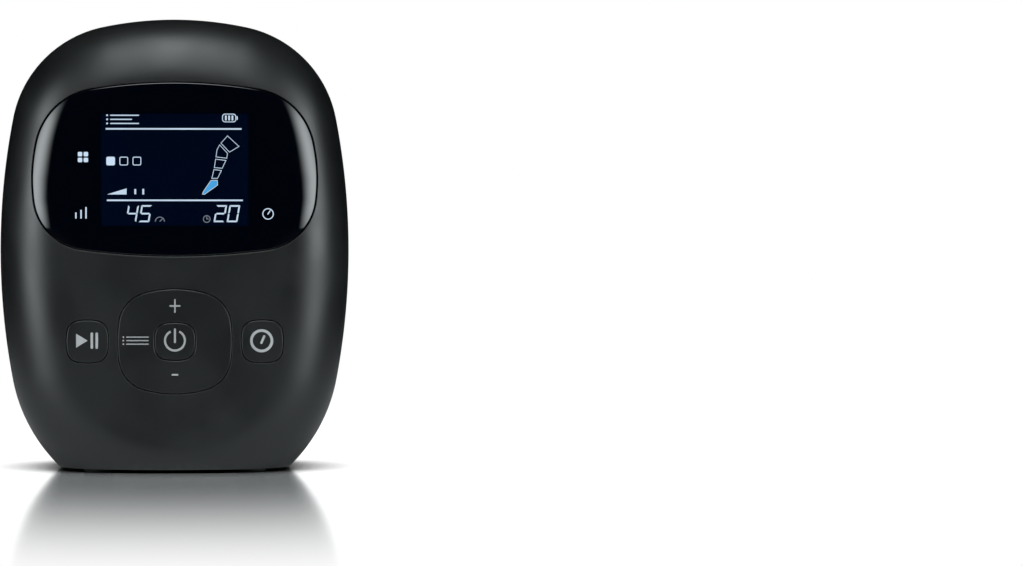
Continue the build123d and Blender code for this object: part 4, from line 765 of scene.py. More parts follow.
def soft_copy(node_name, material):
    """A new piece with a CAD node's shape, for a soft or springy part."""
    mesh = frame["nodes"][node_name].data.copy()
    if "custom_normal" in mesh.attributes:
        mesh.attributes.remove(mesh.attributes["custom_normal"])
    merged = bmesh.new()
    merged.from_mesh(mesh)
    bmesh.ops.remove_doubles(merged, verts=merged.verts, dist=SOFT_WELD)
    merged.to_mesh(mesh)
    merged.free()
    mesh.set_sharp_from_angle(angle=CREASE)
    mesh.materials.clear()
    mesh.materials.append(material)
    piece = bpy.data.objects.new(f"soft_{node_name}", mesh)
    bpy.context.scene.collection.objects.link(piece)
    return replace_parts(piece, node_name)


def valve_springs(material):
    """Return springs, each a copy of its CAD node with a mesh of its own, attached to the housing."""
    for number in range(1, 5):
        name = f"valve_spring_{number}"
        spring = soft_copy(name, material)
        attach(spring, "housing")
        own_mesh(spring)


def pump_diaphragm(material):
    """The diaphragm, as a copy of its CAD node with its place baked into its mesh."""
    piece = soft_copy("diaphragm", material)
    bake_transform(piece)


# ---------------------------------------------------------------- flat marks


def bar(start, end, width, turns=5):
    """A stroke with round ends: half a circle about each end, width across."""
    start, end = np.array(start, float), np.array(end, float)
    heading = np.arctan2(*(end - start)[::-1])
    ahead = heading + np.linspace(-np.pi / 2, np.pi / 2, turns)
    ends = []
    for centre, angle in ((end, ahead), (start, ahead + np.pi)):
        ends.append(centre + width / 2 * np.stack([np.cos(angle), np.sin(angle)], -1))
    return [np.vstack(ends)]


def box(u, v, width, height):
    """A rectangle about (u, v)."""
    return [np.array([u, v]) + np.array([[-1, -1], [1, -1], [1, 1], [-1, 1]]) * [width / 2, height / 2]]


def soft_box(u, v, width, height, corner):
    """A rectangle about (u, v) with round corners."""
    return [rounded(u, v, width, height, corner, step=1.0, turns=3).points]


def disc(u, v, radius, count=28):
    """A filled circle about (u, v)."""
    return [circle(u, v, radius, count).points]


def ring(u, v, radius, stroke, count=40):
    """A circle line about (u, v) whose outer radius is given."""
    return [circle(u, v, radius, count).points, circle(u, v, radius - stroke, count).points]


def sector(u, v, radius, stroke, start, end, count=36):
    """A stretch of a circle line between two angles in degrees."""
    angle = np.radians(np.linspace(start, end, count))
    ray = np.stack([np.cos(angle), np.sin(angle)], -1)
    return [np.array([u, v]) + np.vstack([radius * ray, (radius - stroke) * ray[::-1]])]


def shrunk(polygon, by):
    """A polygon whose edges are moved inwards: corners where the moved edges meet."""
    polygon = np.array(polygon, float)
    ahead = np.roll(polygon, -1, 0) - polygon
    ahead /= np.hypot(*ahead.T)[:, None]
    turn = np.sign(np.cross(ahead, np.roll(ahead, -1, 0)).sum())
    inwards = turn * np.stack([-ahead[:, 1], ahead[:, 0]], -1)
    before, square = np.roll(ahead, 1, 0), np.roll(inwards, 1, 0)
    return polygon + by * (square + inwards) / (1 + (square * inwards).sum(1))[:, None]


def frame_line(polygon, stroke):
    """The line round a polygon, inside its edges."""
    return [np.array(polygon, float), shrunk(polygon, stroke)]


SEGMENTS = {"0": "abcdef", "2": "abdeg", "4": "bcfg", "5": "acdfg"}


def digit(name, u, v, width, height, stroke, slant):
    """A seven-segment digit about (u, v), whose top leans to the right.

    The upper half is three mitred bars and half of the middle one; the lower half is its mirror image.
    Each bar is drawn a little smaller all round, and everything is sheared by tan(slant).
    """
    w, h = width / 2, height / 2
    inner_w, inner_h, half = w - stroke, h - stroke, stroke / 2
    top = [(-w, h), (w, h), (inner_w, inner_h), (-inner_w, inner_h)]
    right = [(w, h), (w, SEGMENT_GAP), (w - half, 0.0), (inner_w, half), (inner_w, inner_h)]
    middle = [(-inner_w, half), (inner_w, half), (w - half, 0.0)]
    middle += [(inner_w, -half), (-inner_w, -half), (half - w, 0.0)]
    bars = {"a": (top, 1, 1), "b": (right, 1, 1), "c": (right, 1, -1), "d": (top, 1, -1)}
    bars |= {"e": (right, -1, -1), "f": (right, -1, 1), "g": (middle, 1, 1)}
    shapes = []
    for segment in SEGMENTS[name]:
        loop, turn_u, turn_v = bars[segment]
        loop = shrunk(np.array(loop) * [turn_u, turn_v], SEGMENT_GAP / 2)
        loop[:, 0] += loop[:, 1] * np.tan(radians(slant))
        shapes.append([loop + [u, v]])
    return shapes


def marks(name, shapes, skin, inset, lift, material, body):
    """Thin flat marks that follow the skin: each shape is a loop, with the loops of its holes after it."""
    parts = []
    for shape in shapes:
        loops = []
        for loop in shape:
            ahead = np.roll(loop, -1, 0) - np.roll(loop, 1, 0)
            normals = np.stack([ahead[:, 1], -ahead[:, 0]], -1)
            normals /= np.maximum(np.hypot(*ahead.T), 1e-9)[:, None]
            outline = divided(Outline(loop, normals), MARK_STEP)
            loops.append(outline.points)
            top, out = skin.at(outline.points, inset - lift)
            bottom = skin.at(outline.points, inset + lift)[0]
            outwards = 1 if loop is shape[0] else -1
            sign = outwards * np.sign(((loop - loop.mean(0)) * normals).sum())
            side = sign * (outline.normals[:, :1] * skin.across + outline.normals[:, 1:] * skin.up)
            parts.append(grid_part(np.stack([top, bottom]), np.stack([side, side]), closed=True))
        parts.append(skin_net(skin, loops, inset - lift, spacing=MARK_NET))
        parts.append(skin_net(skin, loops, inset + lift, back=True, spacing=MARK_NET))
    return make_piece(name, parts, material, body)


def display_marks(materials):
    """What the display shows: rules, battery, mode and level signs, pressure and time, and a jointed leg."""
    white = [box(-0.5, 146.0, 58.0, LINE), box(0.0, 115.4, 58.0, LINE)]
    # a list sign at the top left
    for row in range(3):
        v = 151.8 - 1.75 * row
        white += [disc(-28.9, v, 0.42, 12), bar((-27.4, v), (-15.5 - 3.0 * (row == 1), v), 0.5)]
    # battery with three full cells
    case = rounded(23.2, 150.7, 6.0, 3.7, 1.2, 1.0, 4), rounded(23.2, 150.7, 5.3, 3.0, 0.9, 1.0, 4)
    white += [[outline.points for outline in case]]
    white += [box(26.6, 150.7, 0.5, 1.5)] + [box(21.8 + 1.4 * cell, 150.7, 0.75, 2.1) for cell in range(3)]
    # three programs, the first of them chosen
    for choice in range(3):
        u = -27.4 + 5.6 * choice
        outer = rounded(u, 132.2, 3.7, 3.7, 0.7, 1.0, 4).points
        white.append([outer] if choice == 0 else [outer, rounded(u, 132.2, 3.0, 3.0, 0.4, 1.0, 4).points])
    # a rising wedge and two level bars
    white.append([np.array([(-29.0, 117.9), (-20.6, 117.9), (-20.6, 120.5)])])
    white += [box(-16.9, 119.1, 0.8, 2.2), box(-13.5, 119.1, 0.8, 2.4)]
    # pressure at the left, time at the right
    for name, u in (("4", -18.2), ("5", -12.6), ("2", 19.4), ("0", 25.0)):
        white += digit(name, u, 109.7, 4.7, 7.4, 0.8, 10)
    # thigh, knee and two calf chambers in line, the foot chamber filled
    chambers = [
        [(22.5, 143.2), (27.6, 138.5), (23.3, 135.9), (19.5, 139.9)],
        [(19.1, 139.4), (22.6, 135.6), (22.3, 133.3), (17.4, 133.9), (17.9, 137.2)],
        [(17.3, 133.2), (22.0, 132.6), (20.3, 129.0), (16.7, 129.3)],
        [(16.6, 128.7), (20.1, 128.3), (18.3, 124.7), (15.6, 124.7)],
    ]
    white += [frame_line(chamber, 0.26) for chamber in chambers]
    foot = [(15.4, 124.1), (18.2, 124.1), (18.4, 121.9), (12.6, 117.8), (11.6, 118.0), (12.0, 119.1)]
    white.append(frame_line(foot, 0.25))
    # a small gauge beside the pressure and a small clock beside the time
    dim = [sector(-6.4, 106.3, 2.1, THIN, 0, 180, 20), bar((-6.4, 106.4), (-5.3, 107.5), THIN)]
    hands = [(-0.16, 1.1), (-0.16, -0.16), (0.8, -0.16), (0.8, 0.16), (0.16, 0.16), (0.16, 1.1)]
    dim += [ring(13.6, 107.4, 1.6, THIN, 24), [np.array(hands) + [13.6, 107.4]]]
    for look, shapes in (("light", white), ("dim", dim), ("tint", [[shrunk(foot, 0.3)]])):
        material = materials[look]
        marks(f"display_{look}", shapes, FRONT, WINDOW_INSET, LENS_LIFT, material, "housing")


def lens_marks(material):
    """The lit signs on the window beside the display: program, level and clock."""
    shapes = [soft_box(-39.2 + du, 133.9 + dv, 1.9, 1.9, 0.4) for du in (-1.25, 1.25) for dv in (-1.25, 1.25)]
    levels = ((-42.2, 2.6), (-40.0, 3.7), (-37.9, 4.9))
    shapes += [box(u, 107.6 + height / 2, 0.6, height) for u, height in levels]
    shapes += [ring(39.8, 109.6, 2.45, 0.42, 36), bar((39.7, 109.5), (40.7, 111.0), 0.45)]
    marks("lens_signs", shapes, FRONT, WINDOW_INSET, LENS_LIFT, material, "housing")


def key_marks(material):
    """The printed signs on the keys: power, plus, minus, list, play and pause, and a timer."""
    stroke, opening = 0.9, 25  # the power sign's line, and half its opening in degrees
    power = [sector(0, SIGN_V, 4.7, stroke, 90 + opening, 450 - opening)]
    power.append(bar((0, 54.8), (0, 60.2), stroke))
    a, reach_u, reach_v = 0.33, 2.3, 2.9  # the plus: half its line, and how far it reaches
    plus = [(-a, -a), (-a, -reach_v), (a, -reach_v), (a, -a), (reach_u, -a), (reach_u, a)]
    plus += [(a, a), (a, reach_v), (-a, reach_v), (-a, a), (-reach_u, a), (-reach_u, -a)]
    pad = [[np.array(plus) + [0, 70.2]], box(0, 40.8, 2.8, 0.7)]
    for row in range(3):
        v = SIGN_V + 1.5 * (1 - row)
        pad += [disc(-22.0, v, 0.36, 12), bar((-20.5, v), (-11.4, v), 0.48)]
    play = [[np.array([(-42.1, 52.4), (-37.2, SIGN_V), (-42.1, 58.4)])]]
    play += [soft_box(u, SIGN_V, 1.1, 6.9, 0.4) for u in (-35.4, -33.3)]
    timer = [ring(37.0, 55.3, 4.95, 1.15, 44), bar((36.9, 54.4), (38.1, 57.2), 1.0)]
    for name, shapes, body in (
        ("power_sign", power, "power"),
        ("pad_signs", pad, "pad"),
        ("play_pause_sign", play, "play_pause"),
        ("timer_sign", timer, "timer"),
    ):
        marks(name, shapes, FRONT, -KEY_PROUD, KEY_LIFT, material, body)


# ---------------------------------------------------------------- shader parts


def paint(red, green, blue):
    """A display colour, 0 to 255, as the linear colour that shaders use."""
    shares = [value / 255 for value in (red, green, blue)]
    return [share / 12.92 if share <= 0.04045 else ((share + 0.055) / 1.055) ** 2.4 for share in shares]


def node(tree, kind, inputs=None, **settings):
    """A new node with its settings, and with each input set or linked."""
    made = tree.nodes.new(kind)
    for name, value in settings.items():
        setattr(made, name, value)
    for name, value in (inputs or {}).items():
        if isinstance(value, bpy.types.NodeSocket):
            tree.links.new(value, made.inputs[name])
        else:
            made.inputs[name].default_value = value
    return made


def math(tree, operation, first, second=0.0, clamp=False):
    """The result of a Math node."""
    inputs = {0: first, 1: second}
    return node(tree, "ShaderNodeMath", inputs, operation=operation, use_clamp=clamp).outputs[0]


def spread(tree, value, low, high, new_low=0.0, new_high=1.0):
    """A value carried smoothly from one range to another."""
    inputs = {"Value": value, "From Min": low, "From Max": high, "To Min": new_low, "To Max": new_high}
    return node(tree, "ShaderNodeMapRange", inputs, interpolation_type="SMOOTHSTEP").outputs["Result"]


def blended(tree, share, first, second, how="MIX"):
    """Two colours mixed."""
    inputs = {0: share, 6: first, 7: second}
    return node(tree, "ShaderNodeMix", inputs, data_type="RGBA", blend_type=how).outputs[2]


def shader_group(name, inputs, outputs):
    """A new node group with float and vector inputs and float outputs, and its entry and exit."""
    group = bpy.data.node_groups.new(name, "ShaderNodeTree")
    for label, value in inputs.items():
        kind = "NodeSocketVector" if label == "Vector" else "NodeSocketFloat"
        socket = group.interface.new_socket(label, in_out="INPUT", socket_type=kind)
        if kind == "NodeSocketFloat":
            socket.default_value = value
    for label in outputs:
        group.interface.new_socket(label, in_out="OUTPUT", socket_type="NodeSocketFloat")
    return group, group.nodes.new("NodeGroupInput").outputs, group.nodes.new("NodeGroupOutput").inputs


def put_mask(group, given, made, value):
    """Puts a mask out of a group, times the group's own Amount."""
    group.links.new(math(group, "MULTIPLY", value, given["Amount"], clamp=True), made["Mask"])
    return group


def noise(tree, vector, scale, detail=2.0, roughness=0.5, distortion=0.0):
    """A noise value, with its scale in features per metre."""
    inputs = {"Vector": vector, "Scale": scale, "Detail": detail}
    inputs |= {"Roughness": roughness, "Distortion": distortion}
    return node(tree, "ShaderNodeTexNoise", inputs).outputs[0]


def grain_group():
    """Spark-eroded grain: cells and noise of one size for height, and slow clouds for tone."""
    group, given, made = shader_group("moulded_grain", {"Vector": None, "Size": 0.0004}, ["Height", "Clouds"])
    scale = math(group, "DIVIDE", 1.0, given["Size"])
    inputs = {"Vector": given["Vector"], "Scale": scale}
    cells = node(group, "ShaderNodeTexVoronoi", inputs, feature="SMOOTH_F1")
    height = math(group, "ADD", cells.outputs["Distance"], noise(group, given["Vector"], scale, 1.0))
    group.links.new(height, made["Height"])
    group.links.new(spread(group, noise(group, given["Vector"], 38.0, 3.0), 0.3, 0.7), made["Clouds"])
    return group


def wear_group():
    """Rubbed edges: where the surface is convex, broken up by noise."""
    inputs = {"Vector": None, "Amount": 0.5, "Size": 0.003}
    group, given, made = shader_group("rubbed_edges", inputs, ["Mask"])
    convex = group.nodes.new("ShaderNodeNewGeometry").outputs["Pointiness"]
    scale = math(group, "DIVIDE", 1.0, given["Size"])
    patches = spread(group, noise(group, given["Vector"], scale, 3.0, 0.6), 0.38, 0.66)
    mask = math(group, "MULTIPLY", spread(group, convex, 0.51, 0.58), patches)
    return put_mask(group, given, made, mask)


def dust_group():
    """Settled dust: more on surfaces that face up, in uneven specks."""
    group, given, made = shader_group("settled_dust", {"Vector": None, "Amount": 0.2}, ["Mask"])
    normal = group.nodes.new("ShaderNodeNewGeometry").outputs["Normal"]
    facing = node(group, "ShaderNodeSeparateXYZ", {0: normal})
    level = spread(group, facing.outputs["Z"], 0.25, 1.0)
    specks = spread(group, noise(group, given["Vector"], 900.0, 4.0, 0.7), 0.45, 0.75)
    mask = math(group, "MULTIPLY", level, specks)
    return put_mask(group, given, made, mask)


def handling_group():
    """Marks of wiping and fingers: long drawn-out clouds."""
    group, given, made = shader_group("handling_marks", {"Vector": None, "Amount": 0.5}, ["Mask"])
    inputs = {"Vector": given["Vector"], "Scale": (1.0, 1.0, 0.35)}
    drawn = node(group, "ShaderNodeMapping", inputs).outputs[0]
    wiped = spread(group, noise(group, drawn, 120.0, 5.0, 0.65, 1.2), 0.42, 0.72)
    return put_mask(group, given, made, wiped)


def streak_group():
    """Brushed or drawn metal: fine lines along X."""
    group, given, made = shader_group("drawn_streaks", {"Vector": None, "Size": 0.0003}, ["Height", "Tone"])
    scale = math(group, "DIVIDE", 1.0, given["Size"])
    inputs = {"Vector": given["Vector"], "Scale": (0.03, 1.0, 1.0)}
    drawn = node(group, "ShaderNodeMapping", inputs).outputs[0]
    lines = noise(group, drawn, scale, 2.0)
    group.links.new(lines, made["Height"])
    group.links.new(spread(group, noise(group, given["Vector"], 60.0, 3.0), 0.3, 0.7), made["Tone"])
    return group


class Finish:
    """A material under construction: its tree, its shader, and the coordinates it reads."""

    def __init__(self, name, **plain):
        self.material = bpy.data.materials.new(name)
        self.material.use_nodes = True
        self.tree = self.material.node_tree
        self.shader = self.tree.nodes["Principled BSDF"]
        self.place = self.tree.nodes.new("ShaderNodeTexCoord").outputs["Object"]
        for socket, value in plain.items():
            self.shader.inputs[socket.replace("_", " ")].default_value = value

    def effect(self, group, **values):
        """One of the shared groups, with this material's own values."""
        inputs, shared = {"Vector": self.place}, bpy.data.node_groups[group]
        made = node(self.tree, "ShaderNodeGroup", inputs, node_tree=shared)
        for socket, value in values.items():
            made.inputs[socket].default_value = value
        return made.outputs

    def drive(self, socket, value):
        """Links a pattern to one of the shader's inputs."""
        self.tree.links.new(value, self.shader.inputs[socket])

    def bump(self, height, distance, strength=1.0):
        """A bump of the given depth in metres."""
        inputs = {"Height": height, "Distance": distance, "Strength": strength}
        self.drive("Normal", node(self.tree, "ShaderNodeBump", inputs).outputs["Normal"])


def moulded(name, colour, roughness, grain=0.0004, depth=4e-6, wear=0.3, dust=0.1, **plain):
    """Moulded plastic: grained, a little cloudy, rubbed at its edges and dusty on top."""
    finish = Finish(name, **plain)
    tree = finish.tree
    pattern = finish.effect("moulded_grain", Size=grain)
    rubbed = finish.effect("rubbed_edges", Amount=wear)["Mask"]
    dusty = finish.effect("settled_dust", Amount=dust)["Mask"]
    dark, light = ([min(part * share, 1.0) for part in colour] + [1.0] for share in (0.9, 1.12))
    tone = blended(tree, pattern["Clouds"], dark, light)
    worn = blended(tree, rubbed, tone, [part * 0.85 + 0.035 for part in colour] + [1.0])
    finish.drive("Base Color", blended(tree, dusty, worn, DUST + [1.0]))
    gloss = spread(tree, pattern["Clouds"], 0.0, 1.0, roughness - 0.03, roughness + 0.03)
    smoother = math(tree, "SUBTRACT", gloss, math(tree, "MULTIPLY", rubbed, 0.12))
    finish.drive("Roughness", math(tree, "ADD", smoother, math(tree, "MULTIPLY", dusty, 0.4), clamp=True))
    finish.bump(pattern["Height"], depth)
    return finish.material


def soft_rubber(name, colour, roughness=0.75, **plain):
    """Rubber or silicone: matt, with a bloom and dust on top."""
    return moulded(name, colour, roughness, grain=0.0006, depth=8e-6, wear=0.1, dust=0.25, **plain)


def polished(name, colour, roughness, marks_amount, **plain):
    """Hard gloss: clear but for wiping marks and a little dust."""
    finish = Finish(name, **plain)
    tree = finish.tree
    wiped = finish.effect("handling_marks", Amount=marks_amount)["Mask"]
    dusty = finish.effect("settled_dust", Amount=0.05)["Mask"]
    finish.drive("Base Color", blended(tree, dusty, colour + [1.0], DUST + [1.0]))
    dull = math(tree, "MULTIPLY", math(tree, "ADD", wiped, dusty), 0.14)
    finish.drive("Roughness", math(tree, "ADD", dull, roughness, clamp=True))
    return finish


def metal(name, colour, roughness, size=0.0003, depth=1.5e-6, **plain):
    """Drawn or plated metal: fine streaks, uneven tone, bright edges."""
    finish = Finish(name, Metallic=1.0, **plain)
    tree = finish.tree
    pattern = finish.effect("drawn_streaks", Size=size)
    rubbed = finish.effect("rubbed_edges", Amount=0.6)["Mask"]
    dark, light = ([min(part * share, 1.0) for part in colour] + [1.0] for share in (0.82, 1.1))
    tone = blended(tree, pattern["Tone"], dark, light)
    bright = [min(part * 1.3, 1.0) for part in colour] + [1.0]
    finish.drive("Base Color", blended(tree, rubbed, tone, bright))
    uneven = spread(tree, pattern["Tone"], 0.0, 1.0, roughness - 0.06, roughness + 0.08)
    finish.drive("Roughness", math(tree, "SUBTRACT", uneven, math(tree, "MULTIPLY", rubbed, 0.1), clamp=True))
    finish.bump(pattern["Height"], depth)
    return finish.material


def window_finish(colours):
    """Tinted gloss window whose display area glows faintly and unevenly, and fades at its rim."""
    finish = polished("window_gloss", list(colours.window), 0.05, 0.35, IOR=1.49)
    tree = finish.tree
    apart = node(tree, "ShaderNodeSeparateXYZ", {0: finish.place}).outputs
    # distances inside the display's upright and level sides, in metres
    middle_z = (BASE + DISPLAY_V * cos(LEAN)) * MM
    level = math(tree, "SUBTRACT", DISPLAY_HALF_WIDTH * MM, math(tree, "ABSOLUTE", apart["X"]))
    off_z = math(tree, "ABSOLUTE", math(tree, "SUBTRACT", apart["Z"], middle_z))
    upright = math(tree, "SUBTRACT", DISPLAY_HALF_HEIGHT * MM, off_z)
    fade = 0.0006
    mask = math(tree, "MULTIPLY", spread(tree, level, 0.0, fade), spread(tree, upright, 0.0, fade))
    cloudy = spread(tree, noise(tree, finish.place, 18.0, 1.0), 0.3, 0.7, 0.75, 1.0)
    glow = math(tree, "MULTIPLY", mask, cloudy)
    finish.drive("Emission Color", blended(tree, glow, [0.0, 0.0, 0.0, 1.0], list(colours.screen) + [1.0]))
    finish.shader.inputs["Emission Strength"].default_value = 1.0
    return finish.material


def light_ink(name, colour):
    """What the display lights: even, a shade weaker in places, under the window's gloss."""
    finish = polished(name, [part * 0.05 for part in colour], 0.05, 0.3, IOR=1.49)
    tree = finish.tree
    share = spread(tree, noise(tree, finish.place, 70.0, 2.0), 0.3, 0.7)
    weak = [part * 0.86 for part in colour] + [1.0]
    finish.drive("Emission Color", blended(tree, share, weak, list(colour) + [1.0]))
    finish.shader.inputs["Emission Strength"].default_value = 1.0
    return finish.material


def circuit_board(name):
    """Green solder mask over copper tracks and a fine weave."""
    finish = Finish(name, Coat_Weight=0.4, Coat_Roughness=0.2)
    tree = finish.tree
    spots = {"Vector": finish.place, "Scale": 210.0, "Randomness": 0.35}
    tracks = node(tree, "ShaderNodeTexVoronoi", spots, feature="DISTANCE_TO_EDGE")
    copper = spread(tree, tracks.outputs["Distance"], 0.03, 0.05, 1.0, 0.0)
    weave = finish.effect("moulded_grain", Size=0.0009)
    base = blended(tree, weave["Clouds"], [0.006, 0.07, 0.025, 1.0], [0.01, 0.1, 0.04, 1.0])
    finish.drive("Base Color", blended(tree, copper, base, [0.05, 0.19, 0.06, 1.0]))
    finish.drive("Roughness", spread(tree, weave["Clouds"], 0.0, 1.0, 0.3, 0.42))
    finish.bump(math(tree, "ADD", copper, math(tree, "MULTIPLY", weave["Height"], 0.3)), 2e-5)
    return finish.material


def windings(name):
    """Enamelled copper wound round X, over dark laminations."""
    finish = Finish(name, Metallic=1.0)
    tree = finish.tree
    wire = node(tree, "ShaderNodeTexWave", {"Vector": finish.place, "Scale": 900.0, "Distortion": 1.5})
    turns = wire.outputs["Color"]
    finish.drive("Base Color", blended(tree, turns, [0.16, 0.05, 0.015, 1.0], [0.75, 0.3, 0.1, 1.0]))
    finish.drive("Roughness", spread(tree, turns, 0.0, 1.0, 0.5, 0.28))
    finish.bump(turns, 8e-5)
    return finish.material


def cell_sleeve(name):
    """Shrink sleeve on the cells: blue and glossy, with slight ripples."""
    finish = Finish(name, IOR=1.5)
    tree = finish.tree
    ripple = noise(tree, finish.place, 160.0, 3.0, 0.5, 0.6)
    clouds = finish.effect("moulded_grain", Size=0.002)["Clouds"]
    finish.drive("Base Color", blended(tree, clouds, [0.012, 0.07, 0.2, 1.0], [0.02, 0.11, 0.28, 1.0]))
    finish.drive("Roughness", spread(tree, clouds, 0.0, 1.0, 0.2, 0.34))
    finish.bump(ripple, 6e-5)
    return finish.material


# each material slot of the pieces inside, and how it is finished
INSIDE = {
    "tape": lambda: soft_rubber("foam_tape", [0.03, 0.03, 0.03], 0.9),
    "rubber": lambda: soft_rubber("black_rubber", [0.018, 0.018, 0.019], 0.7),
    "silicone": lambda: soft_rubber("grey_silicone", [0.4, 0.42, 0.43], 0.5),
    "screw_steel": lambda: metal("zinc_screws", [0.55, 0.56, 0.58], 0.32),
    "inner_plastic": lambda: moulded("inner_plastic", [0.09, 0.09, 0.1], 0.5),
    "chassis": lambda: moulded("chassis_plastic", [0.22, 0.23, 0.24], 0.55),
    "board": lambda: circuit_board("solder_mask"),
    "display": lambda: polished("display_glass", [0.01, 0.015, 0.06], 0.08, 0.2).material,
    "chips": lambda: moulded("chip_resin", [0.02, 0.02, 0.022], 0.6, grain=0.0002),
    "cells": lambda: cell_sleeve("cell_sleeve"),
    "contacts": lambda: metal("plated_contacts", [0.75, 0.62, 0.32], 0.28),
    "motor_steel": lambda: metal("motor_steel", [0.5, 0.5, 0.51], 0.34, size=0.0005),
    "bronze": lambda: metal("sintered_bronze", [0.5, 0.32, 0.13], 0.5, size=0.0002, depth=6e-6),
    "magnet": lambda: moulded("ferrite_magnet", [0.035, 0.034, 0.034], 0.62, grain=0.0003, depth=9e-6),
    "copper": lambda: windings("copper_windings"),
    "coils": lambda: moulded("coil_bobbins", [0.05, 0.05, 0.055], 0.45, Coat_Weight=0.2),
}


# ---------------------------------------------------------------- stage


def softbox(name, place, aim, size, strength, feather):
    """A flat lamp that faces a point and fades towards its edges; strength is the radiance of its middle."""
    lamp = bpy.data.lights.new(name, "AREA")
    lamp.shape = "RECTANGLE"
    lamp.size, lamp.size_y = size
    lamp.energy = strength * pi * size[0] * size[1]
    lamp.color = LAMP_TINT
    lamp.use_nodes = True
    tree = lamp.node_tree
    across = tree.nodes.new("ShaderNodeNewGeometry").outputs["Parametric"]
    apart = node(tree, "ShaderNodeSeparateXYZ", {0: across}).outputs
    share = None
    for axis in ("X", "Y"):
        off = math(tree, "ABSOLUTE", math(tree, "SUBTRACT", apart[axis], 0.5))
        inner = spread(tree, math(tree, "SUBTRACT", 0.5, off), 0.0, feather / 2)
        share = inner if share is None else math(tree, "MULTIPLY", share, inner)
    tree.links.new(share, tree.nodes["Emission"].inputs["Strength"])
    holder = bpy.data.objects.new(name, lamp)
    bpy.context.scene.collection.objects.link(holder)
    holder.location = place
    holder.rotation_euler = (Vector(aim) - Vector(place)).to_track_quat("-Z", "Y").to_euler()
    holder.visible_camera = False
    return holder


def stage_piece(name, points, faces, material):
    """A plain mesh that belongs to the studio."""
    mesh = bpy.data.meshes.new(name)
    mesh.from_pydata(points.tolist(), [], faces.tolist())
    mesh.materials.append(material)
    piece = bpy.data.objects.new(name, mesh)
    bpy.context.scene.collection.objects.link(piece)
    return piece


def pale_floor(colour, reach):
    """A pale, smooth floor that keeps the pump's shadow and reflection, is darkened close to the pump by a
    painted contact shadow, and turns plain white far away.
    """
    coat = {"Coat_Weight": 1.0, "Coat_Roughness": 0.1, "Coat_IOR": 1.9}
    finish = Finish("studio_floor", Roughness=0.2, IOR=1.45, **coat)
    tree = finish.tree
    away = node(tree, "ShaderNodeVectorMath", {0: finish.place}, operation="LENGTH").outputs["Value"]
    far = spread(tree, away, reach[0], reach[1])
    seen = tree.nodes.new("ShaderNodeLightPath").outputs["Is Camera Ray"]
    cloudy = spread(tree, noise(tree, finish.place, 3.0, 2.0), 0.3, 0.7)
    pale = blended(tree, cloudy, [part * 0.985 for part in colour] + [1.0], list(colour) + [1.0])
    finish.drive("Base Color", pale)
    # what the pump mirrors of the floor is matt, and ends where a small table would end
    table = blended(tree, spread(tree, away, *TABLE_FROM_TO), pale, [0.02, 0.02, 0.02, 1.0])
    matt = node(tree, "ShaderNodeBsdfDiffuse", {"Color": table}).outputs[0]
    # painted contact shadow: close to what stands on it, the floor is mixed towards near-black by ambient
    # occlusion, gloss and all
    open_sky = node(tree, "ShaderNodeAmbientOcclusion", {"Distance": PAINTED_SHADOW_REACH}).outputs["AO"]
    painted_shadow = node(tree, "ShaderNodeBsdfDiffuse", {"Color": [0.01, 0.01, 0.01, 1.0]}).outputs[0]
    shade = spread(tree, open_sky, 0.1, 0.85)
    gloss_with_painted_shadow = node(tree, "ShaderNodeMixShader", {0: shade, 1: painted_shadow, 2: finish.shader.outputs[0]}).outputs[0]
    near = node(tree, "ShaderNodeMixShader", {0: seen, 1: matt, 2: gloss_with_painted_shadow}).outputs[0]
    white = node(tree, "ShaderNodeEmission", {"Color": [1.0, 1.0, 1.0, 1.0], "Strength": 1.0}).outputs[0]
    inputs = {0: math(tree, "MULTIPLY", far, seen), 1: near, 2: white}
    mixed = node(tree, "ShaderNodeMixShader", inputs).outputs[0]
    tree.links.new(mixed, tree.nodes["Material Output"].inputs["Surface"])
    half, rows = 6.0, 13
    across = np.linspace(-half, half, rows)
    x, y = np.meshgrid(across, across)
    places = np.stack([x, y, 0 * x], -1).reshape(-1, 3)
    return stage_piece("floor", places, grid_faces(rows, rows), finish.material)


def white_surround(floor, strength):
    """A round white screen far about the pump that only the floor's gloss shows."""
    material = bpy.data.materials.new("white_screen")
    material.use_nodes = True
    tree = material.node_tree
    tree.nodes.remove(tree.nodes["Principled BSDF"])
    white = node(tree, "ShaderNodeEmission", {"Color": [1.0, 1.0, 1.0, 1.0], "Strength": strength}).outputs[0]
    tree.links.new(white, tree.nodes["Material Output"].inputs["Surface"])
    count, radius, height = 32, 4.0, 3.0
    angle = np.linspace(0, 2 * np.pi, count, endpoint=False)
    low = np.stack([radius * np.cos(angle), radius * np.sin(angle), 0 * angle], -1)
    points = np.stack([low, low + [0, 0, height]]).reshape(-1, 3)
    screen = stage_piece("white_screen", points, grid_faces(2, count, closed=True), material)
    screen.visible_camera = screen.visible_diffuse = screen.visible_shadow = False
    lit = bpy.data.collections.new("lit_by_white_screen")
    lit.objects.link(floor)
    screen.light_linking.receiver_collection = lit


def surroundings(ambient):
    """Plain white behind the pump, and a low even light from all round."""
    world = bpy.data.worlds.new("studio")
    bpy.context.scene.world = world
    world.use_nodes = True
    tree = world.node_tree
    seen = tree.nodes.new("ShaderNodeLightPath").outputs["Is Camera Ray"]
    strength = spread(tree, seen, 0.0, 1.0, ambient, 1.0)
    back = tree.nodes["Background"]
    back.inputs["Color"].default_value = (1.0, 1.0, 1.0, 1.0)
    tree.links.new(strength, back.inputs["Strength"])


